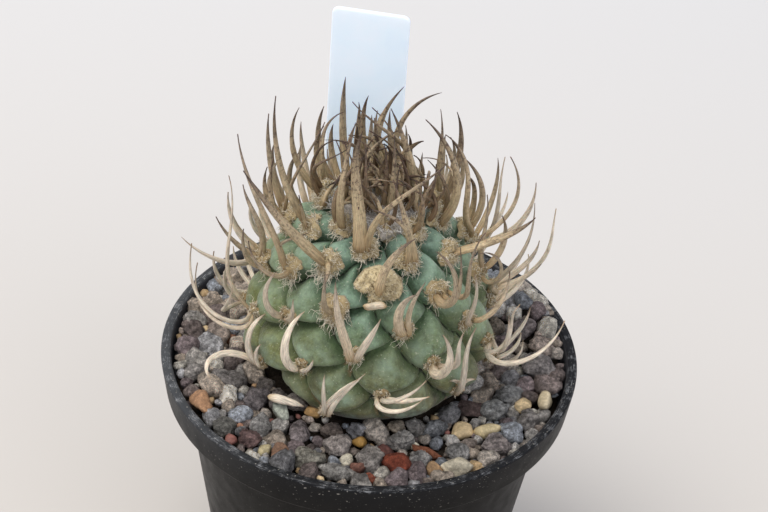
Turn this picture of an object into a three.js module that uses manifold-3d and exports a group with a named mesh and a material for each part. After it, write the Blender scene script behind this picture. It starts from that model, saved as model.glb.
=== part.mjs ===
// A round globular cactus in a small plastic pot, with gravel round it and a plain plant label.
// Millimetres, +Z up, origin at the centre of the pot's underside, the front looking along -Y.

import * as THREE from 'three';
import { mergeVertices } from 'three/addons/utils/BufferGeometryUtils.js';
import Module from 'manifold-3d';

const wasm = await Module();
wasm.setup();

// Clearance between pieces that touch
const GAP = 0.3;

// Pot
const POT_HEIGHT = 52;
const POT_SIDES = 32;
const RIM_RADIUS = 32.5;
const RIM_INNER_RADIUS = 30.9;
const COLLAR_HEIGHT = 6;
const COLLAR_FOOT_RADIUS = 31.65;
const SHOULDER_RADIUS = 28.6;
const FOOT_RADIUS = 21.5;
const POT_WALL = 1.2;
const FLOOR_THICKNESS = 1.6;
const HOLE_COUNT = 6;
const HOLE_RADIUS = 2.4;
const HOLE_CIRCLE = 13;

// Plant body, measured in the creases between its tubercles
const STEM_X = -0.4;
const STEM_CENTRE_Z = POT_HEIGHT + 3.2;
const STEM_RADIUS = 17.6;
const STEM_TOP = 23.8;
const STEM_UNDERSIDE = 9;
const STEM_SQUARENESS = 2.1;
const ROOT_RADIUS = 10;
const ROOT_TIP_RADIUS = 2;
const ROOT_LENGTH = 15;
const TUBERCLE_HEIGHT = 1.9;
const TUBERCLE_FULLNESS = 2.4;

// Spiral of the tubercles: each one stands a fixed angle round from the one before
const DIVERGENCE = 99.42;
const FRONT_TUBERCLE = 28;
const FRONT_AZIMUTH = 4.7;
const FIRST_SPACING = 0.47;
const SPACING_GROWTH = 0.00075;
const STEEP_STEP = 11;
const STEEP_TURN = STEEP_STEP * DIVERGENCE - 3 * 360;
const FLAT_STEP = 7;
const FLAT_TURN = FLAT_STEP * DIVERGENCE - 2 * 360;
const FACETS = 4;
const FULL_RELIEF_FROM = 16;
const FULL_RELIEF_TO = 64;
const LAST_TUBERCLE = 72;
const ROOT_STEPS = 14;
const ROOT_CLEARANCE = 1.4;

// Areoles: the wool cushions with their spines
const CROWN_AREOLES = 19;
const LAST_AREOLE = 66;
const CROWN_REACH = 8.8;
const WOOL_RADIUS = 2;
const WOOL_SIDES = 6;
const WOOL_SEAT = 0.12;
const WOOL_FIT = 0.4;
const SPINE_STEPS = 12;
const SPINE_FOOT_LIFT = 0.72;
const SPINE_FOOT_DROP = 0.22;
const SPINE_FOOT_SPREAD = 0.55;
const SPINE_ROOT_DEPTH = 0.35;
const SPINE_THICKNESS = 0.55;

// Gravel
const GRAVEL_DEPTH = 3.4;
const STONE_COUNT = 68;
const STONE_TRIES = 4000;
const SMALLEST_STONE = 1.5;
const LARGEST_STONE = 3.1;
const HEAP = { x: 24, y: 11, height: 4.2, spread: 5.5 };

// Label
const LABEL_WIDTH = 12;
const LABEL_THICKNESS = 0.7;
const LABEL_LENGTH = 68;
const LABEL_POINT = 12;
const LABEL_TOP_Z = 99.2;
const LABEL_X = -3.4;
const LABEL_Y = 22.8;
const LABEL_TURN = -8;

// Every spine that shows from the front, by its areole:
// turn and rise at the root, turn and rise at the tip (degrees), length and width
const SEEN_SPINES = {
  3: [[-20, 60, -25, 120, 13.5, 1.5]],
  5: [[-65, 70, -130, 175, 16.5, 0.7]],
  7: [[-40, 115, -140, 30, 11.5, 0.8]],
  8: [[-25, 90, -90, 155, 12.5, 0.7]],
  9: [[-55, 110, -50, 45, 10.5, 1.1], [-10, 125, -40, 155, 9, 0.6]],
  10: [[0, 100, 60, 165, 7, 0.8]],
  11: [[-15, 100, -5, 115, 17.5, 1.7]],
  12: [[30, 70, 10, 120, 12, 0.7]],
  13: [[15, 75, 30, 130, 17, 1.4]],
  14: [[30, 105, 85, 40, 10.5, 1]],
  15: [[70, 105, -105, 155, 21.5, 1.2]],
  16: [[-140, 110, 45, 150, 15, 0.9]],
  17: [[10, 125, 100, 75, 19, 2], [40, 85, 150, 15, 20.5, 1]],
  18: [[-15, 60, -25, 150, 19, 1.5], [0, 75, -20, 145, 10.5, 0.9], [35, 55, 190, -5, 12, 0.6]],
  19: [[10, 80, 75, 125, 17.5, 1.3]],
  20: [[0, 75, 0, 80, 6, 0.7], [-15, 60, -30, 95, 23, 1.2]],
  21: [[-45, 105, -135, 10, 13.5, 1], [20, 110, 30, 115, 13, 1.2]],
  22: [[25, 115, 75, 55, 15.5, 1]],
  23: [[35, 110, -120, 15, 13.5, 1]],
  24: [[-25, 50, -60, 60, 21.5, 1.7], [45, 20, 15, -45, 4.5, 0.8]],
  25: [[25, 20, -15, 60, 15.5, 1.3]],
  26: [[-50, 130, -85, 25, 20.5, 1.3], [70, 35, 70, 130, 14.5, 1.1]],
  27: [[-20, 90, 70, 140, 17, 0.7]],
  28: [[110, 90, 95, 35, 11, 1.3]],
  29: [[5, 120, 170, 35, 18.5, 1.2]],
  30: [[0, 60, 0, 100, 18, 1.3]],
  31: [[-5, 80, 150, 20, 12, 0.6], [10, 75, -105, 55, 23.5, 1.2], [40, 10, -45, 85, 13, 0.9]],
  32: [[-25, 0, 25, 165, 15.5, 1.4], [-20, 10, -30, 130, 15.5, 0.9], [0, 10, -95, 140, 18.5, 1]],
  34: [[-10, 60, 0, 95, 17, 1.2]],
  36: [[20, 110, 120, 50, 13.5, 0.9], [-60, -5, 45, 180, 12, 0.8]],
  38: [[20, 35, -20, 65, 10.5, 1], [30, 110, -85, 25, 13.5, 1.2]],
  39: [[-60, 55, -135, 145, 9.5, 1.6], [40, 105, 115, 50, 9.5, 1]],
  40: [[-45, 25, -20, 95, 16, 1.2], [-5, 25, -40, 125, 17.5, 0.9]],
  42: [[10, 30, -45, 130, 11.5, 1.3], [80, 30, 40, 105, 6.5, 1]],
  43: [[-85, 40, 50, 110, 14, 1], [-25, 35, 95, 95, 13, 0.9]],
  45: [[115, 20, -10, 35, 18.5, 1]],
  46: [[5, 65, -155, 85, 16, 1.5], [35, 65, 110, 70, 10, 1.3]],
  47: [[-145, 45, 100, 75, 23, 1.1]],
  49: [[-25, 50, 95, 140, 24, 0.8], [75, 10, -135, 75, 22, 0.8], [80, 5, -135, 65, 19.5, 0.8]],
  50: [[-25, 5, 40, 130, 13.5, 1.7], [35, 15, -90, 120, 12, 1.1]],
  51: [[-40, 55, -160, 110, 20.5, 0.9]],
  53: [[10, 30, -35, 145, 14.5, 1.6], [60, 25, 115, 85, 4.5, 0.8]],
  54: [[-90, 5, 75, 60, 22, 1.2], [-105, 5, 200, 120, 15, 1], [-60, 0, -50, 110, 15, 0.9]],
  56: [[45, 5, 160, 85, 15, 0.8]],
  57: [[-5, 30, 100, 55, 12.5, 1], [20, 30, 70, 35, 9.5, 1.1], [-10, 10, 100, 45, 11.5, 1]],
  58: [[25, 30, -130, 100, 22.5, 1]],
  60: [[-20, 50, -45, 140, 11.5, 1.4], [-55, 25, 90, 0, 14, 1.3], [-10, 55, -45, 125, 5, 0.8]],
  61: [[-5, 60, -95, 125, 13.5, 1.5], [5, 90, 10, 25, 5, 0.9], [70, 105, 85, 160, 5, 0.9]],
  64: [[25, 70, -60, 95, 9, 0.9], [-80, 115, -95, 130, 12.5, 1.8], [60, 75, 125, 45, 11, 1.1]],
};
const SPINES_OUT_OF_SIGHT = 3;
const OUT_OF_SIGHT_AZIMUTH = 75;
const CROWN_SPINES = 2;

// Wool cushions that are larger or smaller than the rule: areole, then width and height against the rule
const ODD_WOOL = { 28: [1.8, 1.35], 31: [1.1, 0.9], 35: [1.15, 1.2], 42: [1.1, 0.85] };

const materials = {
  pot: new THREE.MeshStandardMaterial({ color: 0x1e1d1a, roughness: 0.55, metalness: 0 }),
  grit: new THREE.MeshStandardMaterial({ color: 0x6b6a6e, roughness: 0.95, metalness: 0 }),
  stem: new THREE.MeshStandardMaterial({ color: 0x6f8c74, roughness: 0.6, metalness: 0 }),
  crown: new THREE.MeshStandardMaterial({ color: 0x4b3a33, roughness: 0.8, metalness: 0 }),
  areole: new THREE.MeshStandardMaterial({ color: 0xa08d6e, roughness: 0.85, metalness: 0 }),
  label: new THREE.MeshStandardMaterial({ color: 0xd9e8f5, roughness: 0.45, metalness: 0 }),
};

const radians = THREE.MathUtils.degToRad;
const vector = (x, y, z) => new THREE.Vector3(x, y, z);
const lerp = THREE.MathUtils.lerp;
const clamp = THREE.MathUtils.clamp;

// A seeded run of draws between two values
function draws(seed) {
  let state = seed;
  return (low, high) => {
    state = (state * 1664525 + 1013904223) % 4294967296;
    return low + (high - low) * state / 4294967296;
  };
}

// Solids and geometries

function solidOf(geometry) {
  const bare = geometry.clone();
  bare.deleteAttribute('normal');
  bare.deleteAttribute('uv');
  const merged = mergeVertices(bare, 1e-4);
  const vertProperties = new Float32Array(merged.attributes.position.array);
  const triVerts = new Uint32Array(merged.index.array);
  return new wasm.Manifold(new wasm.Mesh({ numProp: 3, vertProperties, triVerts }));
}

function geometryOf(solid) {
  const mesh = solid.getMesh();
  const geometry = new THREE.BufferGeometry();
  geometry.setAttribute('position', new THREE.BufferAttribute(new Float32Array(mesh.vertProperties), 3));
  geometry.setIndex(new THREE.BufferAttribute(new Uint32Array(mesh.triVerts), 1));
  geometry.computeVertexNormals();
  return geometry;
}

function meshGeometry(points, faces) {
  const geometry = new THREE.BufferGeometry();
  const position = new Float32Array(points.flatMap((point) => point.toArray()));
  geometry.setAttribute('position', new THREE.BufferAttribute(position, 3));
  geometry.setIndex(faces);
  return geometry;
}

// The largest body of a solid: what a cut leaves loose is dropped
function largestBody(solid) {
  const bodies = solid.decompose();
  return bodies.reduce((best, body) => (body.volume() > best.volume() ? body : best));
}

function lathe(outline, sides) {
  const geometry = new THREE.LatheGeometry(outline.map(([r, z]) => new THREE.Vector2(r, z)), sides);
  return geometry.rotateX(Math.PI / 2);
}

// Pot

const shoulderZ = POT_HEIGHT - COLLAR_HEIGHT;
const innerFootRadius = FOOT_RADIUS - POT_WALL;
const innerShoulderRadius = SHOULDER_RADIUS - POT_WALL;
const innerShoulderZ = shoulderZ + POT_WALL;
const innerCollarRadius = COLLAR_FOOT_RADIUS - POT_WALL;

function pot() {
  const edge = 0.5;
  const outline = [
    [0, 0], [FOOT_RADIUS - edge, 0], [FOOT_RADIUS, edge],
    [SHOULDER_RADIUS, shoulderZ], [COLLAR_FOOT_RADIUS, shoulderZ],
    [RIM_RADIUS, POT_HEIGHT - edge], [RIM_RADIUS - edge, POT_HEIGHT],
    [RIM_INNER_RADIUS + edge, POT_HEIGHT], [RIM_INNER_RADIUS, POT_HEIGHT - edge],
    [innerCollarRadius, innerShoulderZ], [innerShoulderRadius, innerShoulderZ],
    [innerFootRadius, FLOOR_THICKNESS], [0, FLOOR_THICKNESS],
  ];
  let solid = solidOf(lathe(outline, POT_SIDES));
  for (let k = 0; k < HOLE_COUNT; k += 1) {
    const angle = 2 * Math.PI * k / HOLE_COUNT;
    const hole = new THREE.CylinderGeometry(HOLE_RADIUS, HOLE_RADIUS, 4 * FLOOR_THICKNESS, 10);
    hole.rotateX(Math.PI / 2);
    hole.translate(HOLE_CIRCLE * Math.cos(angle), HOLE_CIRCLE * Math.sin(angle), 0);
    solid = solid.subtract(solidOf(hole));
  }
  return solid;
}

// The room inside the pot, a gap smaller all round, open above
function potRoom() {
  const above = POT_HEIGHT + 20;
  return solidOf(lathe([
    [0, FLOOR_THICKNESS + GAP], [innerFootRadius - GAP, FLOOR_THICKNESS + GAP],
    [innerShoulderRadius - GAP, innerShoulderZ + GAP],
    [innerCollarRadius - 1.5 * GAP, innerShoulderZ + GAP],
    [RIM_INNER_RADIUS - 1.5 * GAP, POT_HEIGHT], [RIM_INNER_RADIUS - 1.5 * GAP, above], [0, above],
  ], POT_SIDES));
}

// Plant body

// The side view of the creases from the growing point to the root's tip:
// a superellipse above the centre, half an ellipse below it, then a tapering root
function stemProfile() {
  const points = [];
  for (let degree = 0; degree <= 150; degree += 0.5) {
    const polar = radians(degree);
    const across = Math.abs(Math.sin(polar)) / STEM_RADIUS;
    const along = Math.abs(Math.cos(polar)) / (degree <= 90 ? STEM_TOP : STEM_UNDERSIDE);
    const power = degree <= 90 ? STEM_SQUARENESS : 2;
    const reach = (across ** power + along ** power) ** (-1 / power);
    const radius = reach * Math.sin(polar);
    if (degree > 90 && radius < ROOT_RADIUS) break;
    points.push([radius, STEM_CENTRE_Z + reach * Math.cos(polar)]);
  }
  const [neckRadius, neckZ] = points[points.length - 1];
  const rootRings = 10;
  for (let k = 1; k <= rootRings; k += 1) {
    const part = k / rootRings;
    points.push([lerp(neckRadius, ROOT_TIP_RADIUS, part), neckZ - ROOT_LENGTH * part ** 0.8]);
  }
  points.push([0, neckZ - ROOT_LENGTH - ROOT_TIP_RADIUS / 2]);
  return points;
}

// The same profile with the distance along it and the direction out of it
function measuredProfile() {
  const points = stemProfile();
  const arcs = [0];
  for (let k = 1; k < points.length; k += 1) {
    arcs.push(arcs[k - 1] + Math.hypot(points[k][0] - points[k - 1][0], points[k][1] - points[k - 1][1]));
  }
  return points.map(([radius, z], k) => {
    const before = points[Math.max(k - 1, 0)];
    const after = points[Math.min(k + 1, points.length - 1)];
    const length = Math.hypot(after[0] - before[0], after[1] - before[1]);
    const outward = [-(after[1] - before[1]) / length, (after[0] - before[0]) / length];
    return { arc: arcs[k], radius, z, outward };
  });
}

const profile = measuredProfile();
const profileEnd = profile[profile.length - 1].arc;

function profileAt(arc) {
  const wanted = clamp(arc, 0, profileEnd);
  let low = 0;
  let high = profile.length - 1;
  while (high - low > 1) {
    const middle = (low + high) >> 1;
    if (profile[middle].arc <= wanted) low = middle;
    else high = middle;
  }
  const part = (wanted - profile[low].arc) / (profile[high].arc - profile[low].arc);
  return {
    radius: lerp(profile[low].radius, profile[high].radius, part),
    z: lerp(profile[low].z, profile[high].z, part),
    outward: [0, 1].map((k) => lerp(profile[low].outward[k], profile[high].outward[k], part)),
  };
}

// A point of the plant's skin, at an arc from the growing point and an azimuth, lifted off the creases
function skinPoint(arc, azimuth, lift) {
  const { radius, z, outward } = profileAt(arc);
  const reach = radius + lift * outward[0];
  const angle = radians(azimuth);
  return vector(STEM_X + reach * Math.sin(angle), -reach * Math.cos(angle), z + lift * outward[1]);
}

const arcOf = (index) => FIRST_SPACING * index + SPACING_GROWTH * index * index;
const azimuthOf = (index) => FRONT_AZIMUTH + (index - FRONT_TUBERCLE) * DIVERGENCE;

const indexOf = (arc) => (
  (-FIRST_SPACING + Math.sqrt(FIRST_SPACING ** 2 + 4 * SPACING_GROWTH * arc)) / (2 * SPACING_GROWTH)
);

// How high a tubercle stands: it grows out of the growing point and fades into the root
function reliefAt(index) {
  const risen = clamp(index / FULL_RELIEF_FROM, 0, 1);
  const faded = clamp((LAST_TUBERCLE - index) / (LAST_TUBERCLE - FULL_RELIEF_TO), 0, 1);
  return TUBERCLE_HEIGHT * risen * faded;
}

// A tubercle's swelling from 1 at its areole to 0 in its creases,
// from how far a place lies along the two spirals, counted in tubercles
function swelling(alongFlat, alongSteep) {
  const offCentre = [alongFlat, alongSteep].map((steps) => Math.abs(steps - Math.round(steps)));
  return 1 - (2 * Math.max(...offCentre)) ** TUBERCLE_FULLNESS;
}

// The skin's height over the creases near an areole, at an offset to its side and up from it
function reliefBeside(index, sideways, upwards) {
  const turned = THREE.MathUtils.radToDeg(sideways / profileAt(arcOf(index)).radius);
  const passed = -upwards / (FIRST_SPACING + 2 * SPACING_GROWTH * index);
  const cross = FLAT_TURN * STEEP_STEP - STEEP_TURN * FLAT_STEP;
  const alongFlat = (turned * STEEP_STEP - passed * STEEP_TURN) / cross;
  const alongSteep = (passed * FLAT_TURN - turned * FLAT_STEP) / cross;
  return reliefAt(index + passed) * swelling(alongFlat, alongSteep);
}

// The skin as a net along both spirals, so that the creases fall on the net's lines.
// A tubercle stands at each whole step, and past both ends the net closes to a point.
function skin(clearance) {
  const columns = STEEP_STEP * FACETS;
  const lastIndex = LAST_TUBERCLE + ROOT_STEPS;
  const rootArc = (profileEnd - arcOf(LAST_TUBERCLE)) / ROOT_STEPS;
  const points = [skinPoint(0, 0, clearance), skinPoint(profileEnd, 0, clearance)];
  const numbers = new Map();
  const indexAt = (column, row) => (FLAT_STEP * column + STEEP_STEP * row) / FACETS;

  function vertex(column, row) {
    const index = indexAt(column, row);
    if (index <= 0) return 0;
    if (index >= lastIndex) return 1;
    const turns = Math.floor(column / columns);
    const key = `${column - turns * columns},${row + turns * FLAT_STEP * FACETS}`;
    if (!numbers.has(key)) {
      const swollen = swelling(column / FACETS, row / FACETS);
      const arc = index <= LAST_TUBERCLE ? arcOf(index)
        : arcOf(LAST_TUBERCLE) + (index - LAST_TUBERCLE) * rootArc;
      const azimuth = azimuthOf(0) + (column * FLAT_TURN + row * STEEP_TURN) / FACETS;
      numbers.set(key, points.length);
      points.push(skinPoint(arc, azimuth, clearance + reliefAt(index) * swollen));
    }
    return numbers.get(key);
  }

  const faces = [];
  const addFace = (a, b, c) => {
    if (a !== b && b !== c && c !== a) faces.push(a, b, c);
  };
  for (let column = 0; column < columns; column += 1) {
    const firstRow = Math.floor(-FLAT_STEP * column / STEEP_STEP) - 2;
    const rows = Math.ceil(lastIndex * FACETS / STEEP_STEP) + 4;
    for (let row = firstRow; row < firstRow + rows; row += 1) {
      const here = vertex(column, row);
      const beside = vertex(column + 1, row);
      const below = vertex(column, row + 1);
      const across = vertex(column + 1, row + 1);
      addFace(here, beside, across);
      addFace(here, across, below);
    }
  }
  return meshGeometry(points, faces);
}

// The plain hole in the gravel that the plant stands in
function plantHole() {
  const rings = 9;
  const firstArc = arcOf(50);
  const outline = [];
  for (let k = rings; k >= 0; k -= 1) {
    const arc = lerp(firstArc, profileEnd, k / rings);
    const { radius, z, outward } = profileAt(arc);
    const lift = reliefAt(indexOf(arc)) + (arc > arcOf(LAST_AREOLE) ? ROOT_CLEARANCE : 2 * GAP);
    outline.push([k === rings ? 0 : radius + lift * outward[0], z + lift * outward[1]]);
  }
  outline.push([0, outline[outline.length - 1][1]]);
  return solidOf(lathe(outline, 20).translate(STEM_X, 0, 0));
}

// Areoles

function areole(index) {
  const { outward } = profileAt(arcOf(index));
  const angle = radians(azimuthOf(index));
  const out = vector(Math.sin(angle), -Math.cos(angle), 0);
  const side = vector(Math.cos(angle), Math.sin(angle), 0);
  const normal = out.clone().multiplyScalar(outward[0]).add(vector(0, 0, outward[1]));
  const up = vector(0, 0, outward[0]).addScaledVector(out, -outward[1]);
  const foot = skinPoint(arcOf(index), azimuthOf(index), reliefAt(index));
  return { foot, normal, up, side };
}

// Older areoles have lost most of their wool
function woolSize(index) {
  const [wide, high] = ODD_WOOL[index] ?? [1, 1];
  const age = clamp((index - 34) / 26, 0, 1);
  const radius = WOOL_RADIUS * lerp(1, 0.6, age);
  return { across: radius * wide, along: radius * high, thick: lerp(1.3, 0.95, age) };
}

// A low tuft, moulded to the tubercle under it with a gap between them
function woolCushion(index) {
  const { foot, normal, up, side } = areole(index);
  const { across, along, thick } = woolSize(index);
  const draw = draws(1000 + index);
  const at = (sideways, upwards, lift) => foot.clone()
    .addScaledVector(side, sideways).addScaledVector(up, upwards).addScaledVector(normal, lift);
  const seat = GAP + WOOL_SEAT;
  const points = [at(0, 0, thick), at(0, 0, seat)];
  const rings = [{ reach: 0.62, over: 0.8 }, { reach: 1, over: 0.15 }];
  rings.forEach(({ reach, over }) => {
    for (let k = 0; k < WOOL_SIDES; k += 1) {
      const angle = 2 * Math.PI * k / WOOL_SIDES;
      const tuft = reach * draw(0.88, 1.12);
      const sideways = across * tuft * Math.cos(angle);
      const upwards = along * tuft * Math.sin(angle);
      const sunk = WOOL_FIT * (reliefAt(index) - reliefBeside(index, sideways, upwards));
      const rounded = (sideways * sideways + upwards * upwards) / (2 * STEM_RADIUS);
      points.push(at(sideways, upwards, seat + over * (thick - seat) - sunk - rounded));
    }
  });
  const ring = (row, k) => 2 + row * WOOL_SIDES + k % WOOL_SIDES;
  const faces = [];
  for (let k = 0; k < WOOL_SIDES; k += 1) {
    faces.push(0, ring(0, k), ring(0, k + 1));
    faces.push(ring(0, k), ring(1, k), ring(1, k + 1));
    faces.push(ring(0, k), ring(1, k + 1), ring(0, k + 1));
    faces.push(1, ring(1, k + 1), ring(1, k));
  }
  return solidOf(meshGeometry(points, faces));
}

// The felt over the growing point: a thin cap that the youngest wool and spines stand in
function crownFelt() {
  const sides = 14;
  const rings = 3;
  const draw = draws(77);
  const floorLift = (arc) => reliefAt(indexOf(arc)) + 2 * GAP;
  const isTooNear = (point) => areoles.some(({ foot }, index) => (
    index >= CROWN_AREOLES && foot.distanceTo(point) < 1.15 * woolSize(index).across + 3 * GAP
  ));
  const edgeArcs = Array.from({ length: sides }, (_, k) => {
    let arc = CROWN_REACH;
    while (isTooNear(skinPoint(arc, 360 * k / sides, floorLift(arc)))) arc -= 0.3;
    return arc;
  });
  const points = [skinPoint(0, 0, floorLift(0)), skinPoint(0, 0, floorLift(0) + 1)];
  for (let ring = 1; ring <= rings; ring += 1) {
    for (let k = 0; k < sides; k += 1) {
      const arc = edgeArcs[k] * ring / rings;
      const thickness = ring === rings ? 0.8 : draw(0.9, 1.6);
      points.push(skinPoint(arc, 360 * k / sides, floorLift(arc)));
      points.push(skinPoint(arc, 360 * k / sides, floorLift(arc) + thickness));
    }
  }
  const at = (ring, k, top) => (ring === 0 ? top : 2 + 2 * ((ring - 1) * sides + k % sides) + top);
  const faces = [];
  for (let k = 0; k < sides; k += 1) {
    faces.push(at(0, 0, 1), at(1, k, 1), at(1, k + 1, 1));
    faces.push(at(0, 0, 0), at(1, k + 1, 0), at(1, k, 0));
    for (let ring = 1; ring < rings; ring += 1) {
      faces.push(at(ring, k, 1), at(ring + 1, k, 1), at(ring + 1, k + 1, 1));
      faces.push(at(ring, k, 1), at(ring + 1, k + 1, 1), at(ring, k + 1, 1));
      faces.push(at(ring, k, 0), at(ring + 1, k + 1, 0), at(ring + 1, k, 0));
      faces.push(at(ring, k, 0), at(ring, k + 1, 0), at(ring + 1, k + 1, 0));
    }
    faces.push(at(rings, k, 1), at(rings, k, 0), at(rings, k + 1, 0));
    faces.push(at(rings, k, 1), at(rings, k + 1, 0), at(rings, k + 1, 1));
  }
  return solidOf(meshGeometry(points, faces));
}

// Spines

// Points along a spine: its heading swings evenly from the root's turn and rise to the tip's
function spinePath(spine) {
  const { foot, normal, up, side } = areole(spine.index);
  const [turn0, rise0, turn1, rise1, length] = spine.shape;
  const { across, along, thick } = woolSize(spine.index);
  const point = foot.clone()
    .addScaledVector(normal, SPINE_FOOT_LIFT * thick)
    .addScaledVector(up, -SPINE_FOOT_DROP * along)
    .addScaledVector(side, SPINE_FOOT_SPREAD * across * spine.rank);
  const points = [point.clone()];
  for (let k = 0; k < SPINE_STEPS; k += 1) {
    const part = (k + 0.5) / SPINE_STEPS;
    const turn = radians(azimuthOf(spine.index) + spine.twist + lerp(turn0, turn1, part));
    const rise = radians(lerp(rise0, rise1, part));
    const heading = vector(Math.cos(rise) * Math.sin(turn), -Math.cos(rise) * Math.cos(turn), Math.sin(rise));
    heading.addScaledVector(normal, spine.lean).normalize();
    point.addScaledVector(heading, length * spine.shrink / SPINE_STEPS);
    points.push(point.clone());
  }
  return points;
}

// A spine is flat on the side that faces the plant's axis and keeled on the other, and tapers to a point
function spineSolid(spine) {
  const path = spinePath(spine);
  const width = spine.shape[5];
  const places = [0, 5, 10];
  const widths = [1, 0.84, 0.38];
  const points = [];
  const heading = (k) => path[Math.min(k + 1, SPINE_STEPS)].clone().sub(path[Math.max(k - 1, 0)]).normalize();
  const flat = areole(spine.index).side.clone();
  places.forEach((place, ring) => {
    const along = heading(place);
    flat.addScaledVector(along, -flat.dot(along)).normalize();
    const keel = along.clone().cross(flat);
    const half = Math.max(width * widths[ring] / 2, 0.18);
    const deep = Math.max(width * SPINE_THICKNESS * widths[ring], 0.3);
    const centre = path[place].clone();
    if (ring === 0) centre.addScaledVector(along, -SPINE_ROOT_DEPTH);
    points.push(centre.clone().addScaledVector(flat, half).addScaledVector(keel, -deep / 3));
    points.push(centre.clone().addScaledVector(flat, -half).addScaledVector(keel, -deep / 3));
    points.push(centre.clone().addScaledVector(keel, deep * 2 / 3));
  });
  points.push(path[SPINE_STEPS].clone());
  const tip = points.length - 1;
  const faces = [0, 1, 2];
  for (let ring = 0; ring < places.length - 1; ring += 1) {
    for (let k = 0; k < 3; k += 1) {
      const here = 3 * ring + k;
      const next = 3 * ring + (k + 1) % 3;
      faces.push(here, here + 3, next, next, here + 3, next + 3);
    }
  }
  const last = 3 * (places.length - 1);
  for (let k = 0; k < 3; k += 1) faces.push(last + k, tip, last + (k + 1) % 3);
  return solidOf(meshGeometry(points, faces));
}

// Spines by the rule, for the sides that the front view doesn't show
function ruleSpine(index, rank, draw) {
  if (index < CROWN_AREOLES) {
    return [draw(-60, 60), draw(45, 80), draw(-60, 60), draw(110, 165), draw(8, 13), draw(0.7, 1)];
  }
  const age = clamp((index - 24) / 40, 0, 1);
  const side = 42 * rank + draw(-18, 18);
  const rise = lerp(55, 10, age) + draw(-12, 15);
  const length = lerp(13.5, 8.5, age) * draw(0.75, 1.25);
  return [side, rise, side * 0.3 + draw(-40, 40), rise + draw(45, 85), length, lerp(1.2, 0.9, age)];
}

function isOutOfSight(index) {
  const azimuth = ((azimuthOf(index) + 180) % 360 + 360) % 360 - 180;
  return Math.abs(azimuth) > OUT_OF_SIGHT_AZIMUTH;
}

function allSpines() {
  const spines = [];
  const wanted = (index) => {
    if (index < CROWN_AREOLES) return CROWN_SPINES;
    return isOutOfSight(index) ? SPINES_OUT_OF_SIGHT : 1;
  };
  const draw = draws(4242);
  for (let index = 1; index <= LAST_AREOLE; index += 1) {
    const shapes = [...(SEEN_SPINES[index] ?? [])];
    const seen = shapes.length;
    const count = Math.max(seen, wanted(index));
    while (shapes.length < count) shapes.push(ruleSpine(index, shapes.length - (count - 1) / 2, draw));
    const order = shapes.map((_, k) => k).sort((a, b) => shapes[a][0] - shapes[b][0]);
    shapes.forEach((shape, k) => {
      const rank = order.indexOf(k) - (count - 1) / 2;
      spines.push({ index, shape, rank, seen: k < seen, lean: 0, twist: 0, shrink: 1 });
    });
  }
  return [...spines.filter(({ seen }) => seen), ...spines.filter(({ seen }) => !seen)];
}

// The ground under the spines and the stones: a shallow mound round the plant, and a heap behind it
function groundZ(x, y) {
  const mound = 1.1 * Math.max(0, 1 - (x * x + y * y) / (26 * 26));
  const off = Math.hypot(x - HEAP.x, y - HEAP.y) / HEAP.spread;
  const heap = HEAP.height * Math.exp(-off * off / 2);
  return POT_HEIGHT - GRAVEL_DEPTH + mound + heap;
}

// How far a point is from the plant's skin, measured from the centre of the globe
function offSkin(point) {
  const across = Math.hypot(point.x - STEM_X, point.y);
  const along = point.z - STEM_CENTRE_Z;
  const power = along >= 0 ? STEM_SQUARENESS : 2;
  const height = along >= 0 ? STEM_TOP : STEM_UNDERSIDE;
  const scale = ((across / STEM_RADIUS) ** power + (Math.abs(along) / height) ** power) ** (1 / power);
  return Math.hypot(across, along) * (1 - 1 / scale);
}

// How far a point is from the label's flat sides, or from its edges
function offLabel(point) {
  const turn = radians(LABEL_TURN);
  const dx = point.x - LABEL_X;
  const dy = point.y - LABEL_Y;
  const across = Math.abs(dx * Math.cos(turn) + dy * Math.sin(turn)) - LABEL_WIDTH / 2;
  const through = Math.abs(-dx * Math.sin(turn) + dy * Math.cos(turn)) - LABEL_THICKNESS / 2;
  return Math.max(across, through);
}

const nodeOf = (index) => (index < CROWN_AREOLES ? 'crown' : `areole_${String(index).padStart(2, '0')}`);

// True where a spine is clear of the plant, the ground, the pot, the label, the wool and the other spines
function isClear(path, spine, placed) {
  const node = nodeOf(spine.index);
  for (let k = 0; k <= SPINE_STEPS; k += 1) {
    const point = path[k];
    const half = 0.5 * spine.shape[5] * (1 - 0.75 * k / SPINE_STEPS);
    if (k > 2 && offSkin(point) < TUBERCLE_HEIGHT + GAP + half) return false;
    if (k > 0 && point.z < groundZ(point.x, point.y) + 2 * GAP + half) return false;
    const reach = Math.hypot(point.x, point.y);
    if (reach > RIM_INNER_RADIUS - 1.5 && point.z < POT_HEIGHT + GAP + half) return false;
    if (reach > RIM_RADIUS - 0.5) return false;
    if (offLabel(point) < 2 * GAP + half) return false;
    for (let other = 1; other <= LAST_AREOLE; other += 1) {
      if (nodeOf(other) === node) continue;
      const { across, along, thick } = woolSize(other);
      const { foot } = areoles[other];
      const keep = 1.15 * (across + along + thick) / 3 + GAP + half;
      if (point.distanceToSquared(foot) < keep * keep) return false;
    }
  }
  return placed.every((other) => (
    other.spine.index === spine.index || apart(path, spine.shape[5], other.path, other.width)
  ));
}

// True where two spines keep their widths and a gap between them
function apart(path, width, otherPath, otherWidth) {
  const fine = 2;
  for (let a = 0; a < path.length * fine - fine; a += 1) {
    const point = pointAlong(path, a / fine);
    const half = 0.5 * width * (1 - 0.75 * a / (fine * SPINE_STEPS));
    for (let b = 0; b < otherPath.length * fine - fine; b += 1) {
      const other = pointAlong(otherPath, b / fine);
      const otherHalf = 0.5 * otherWidth * (1 - 0.75 * b / (fine * SPINE_STEPS));
      const reach = half + otherHalf + GAP;
      if (point.distanceToSquared(other) < reach * reach) return false;
    }
  }
  return true;
}

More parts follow.
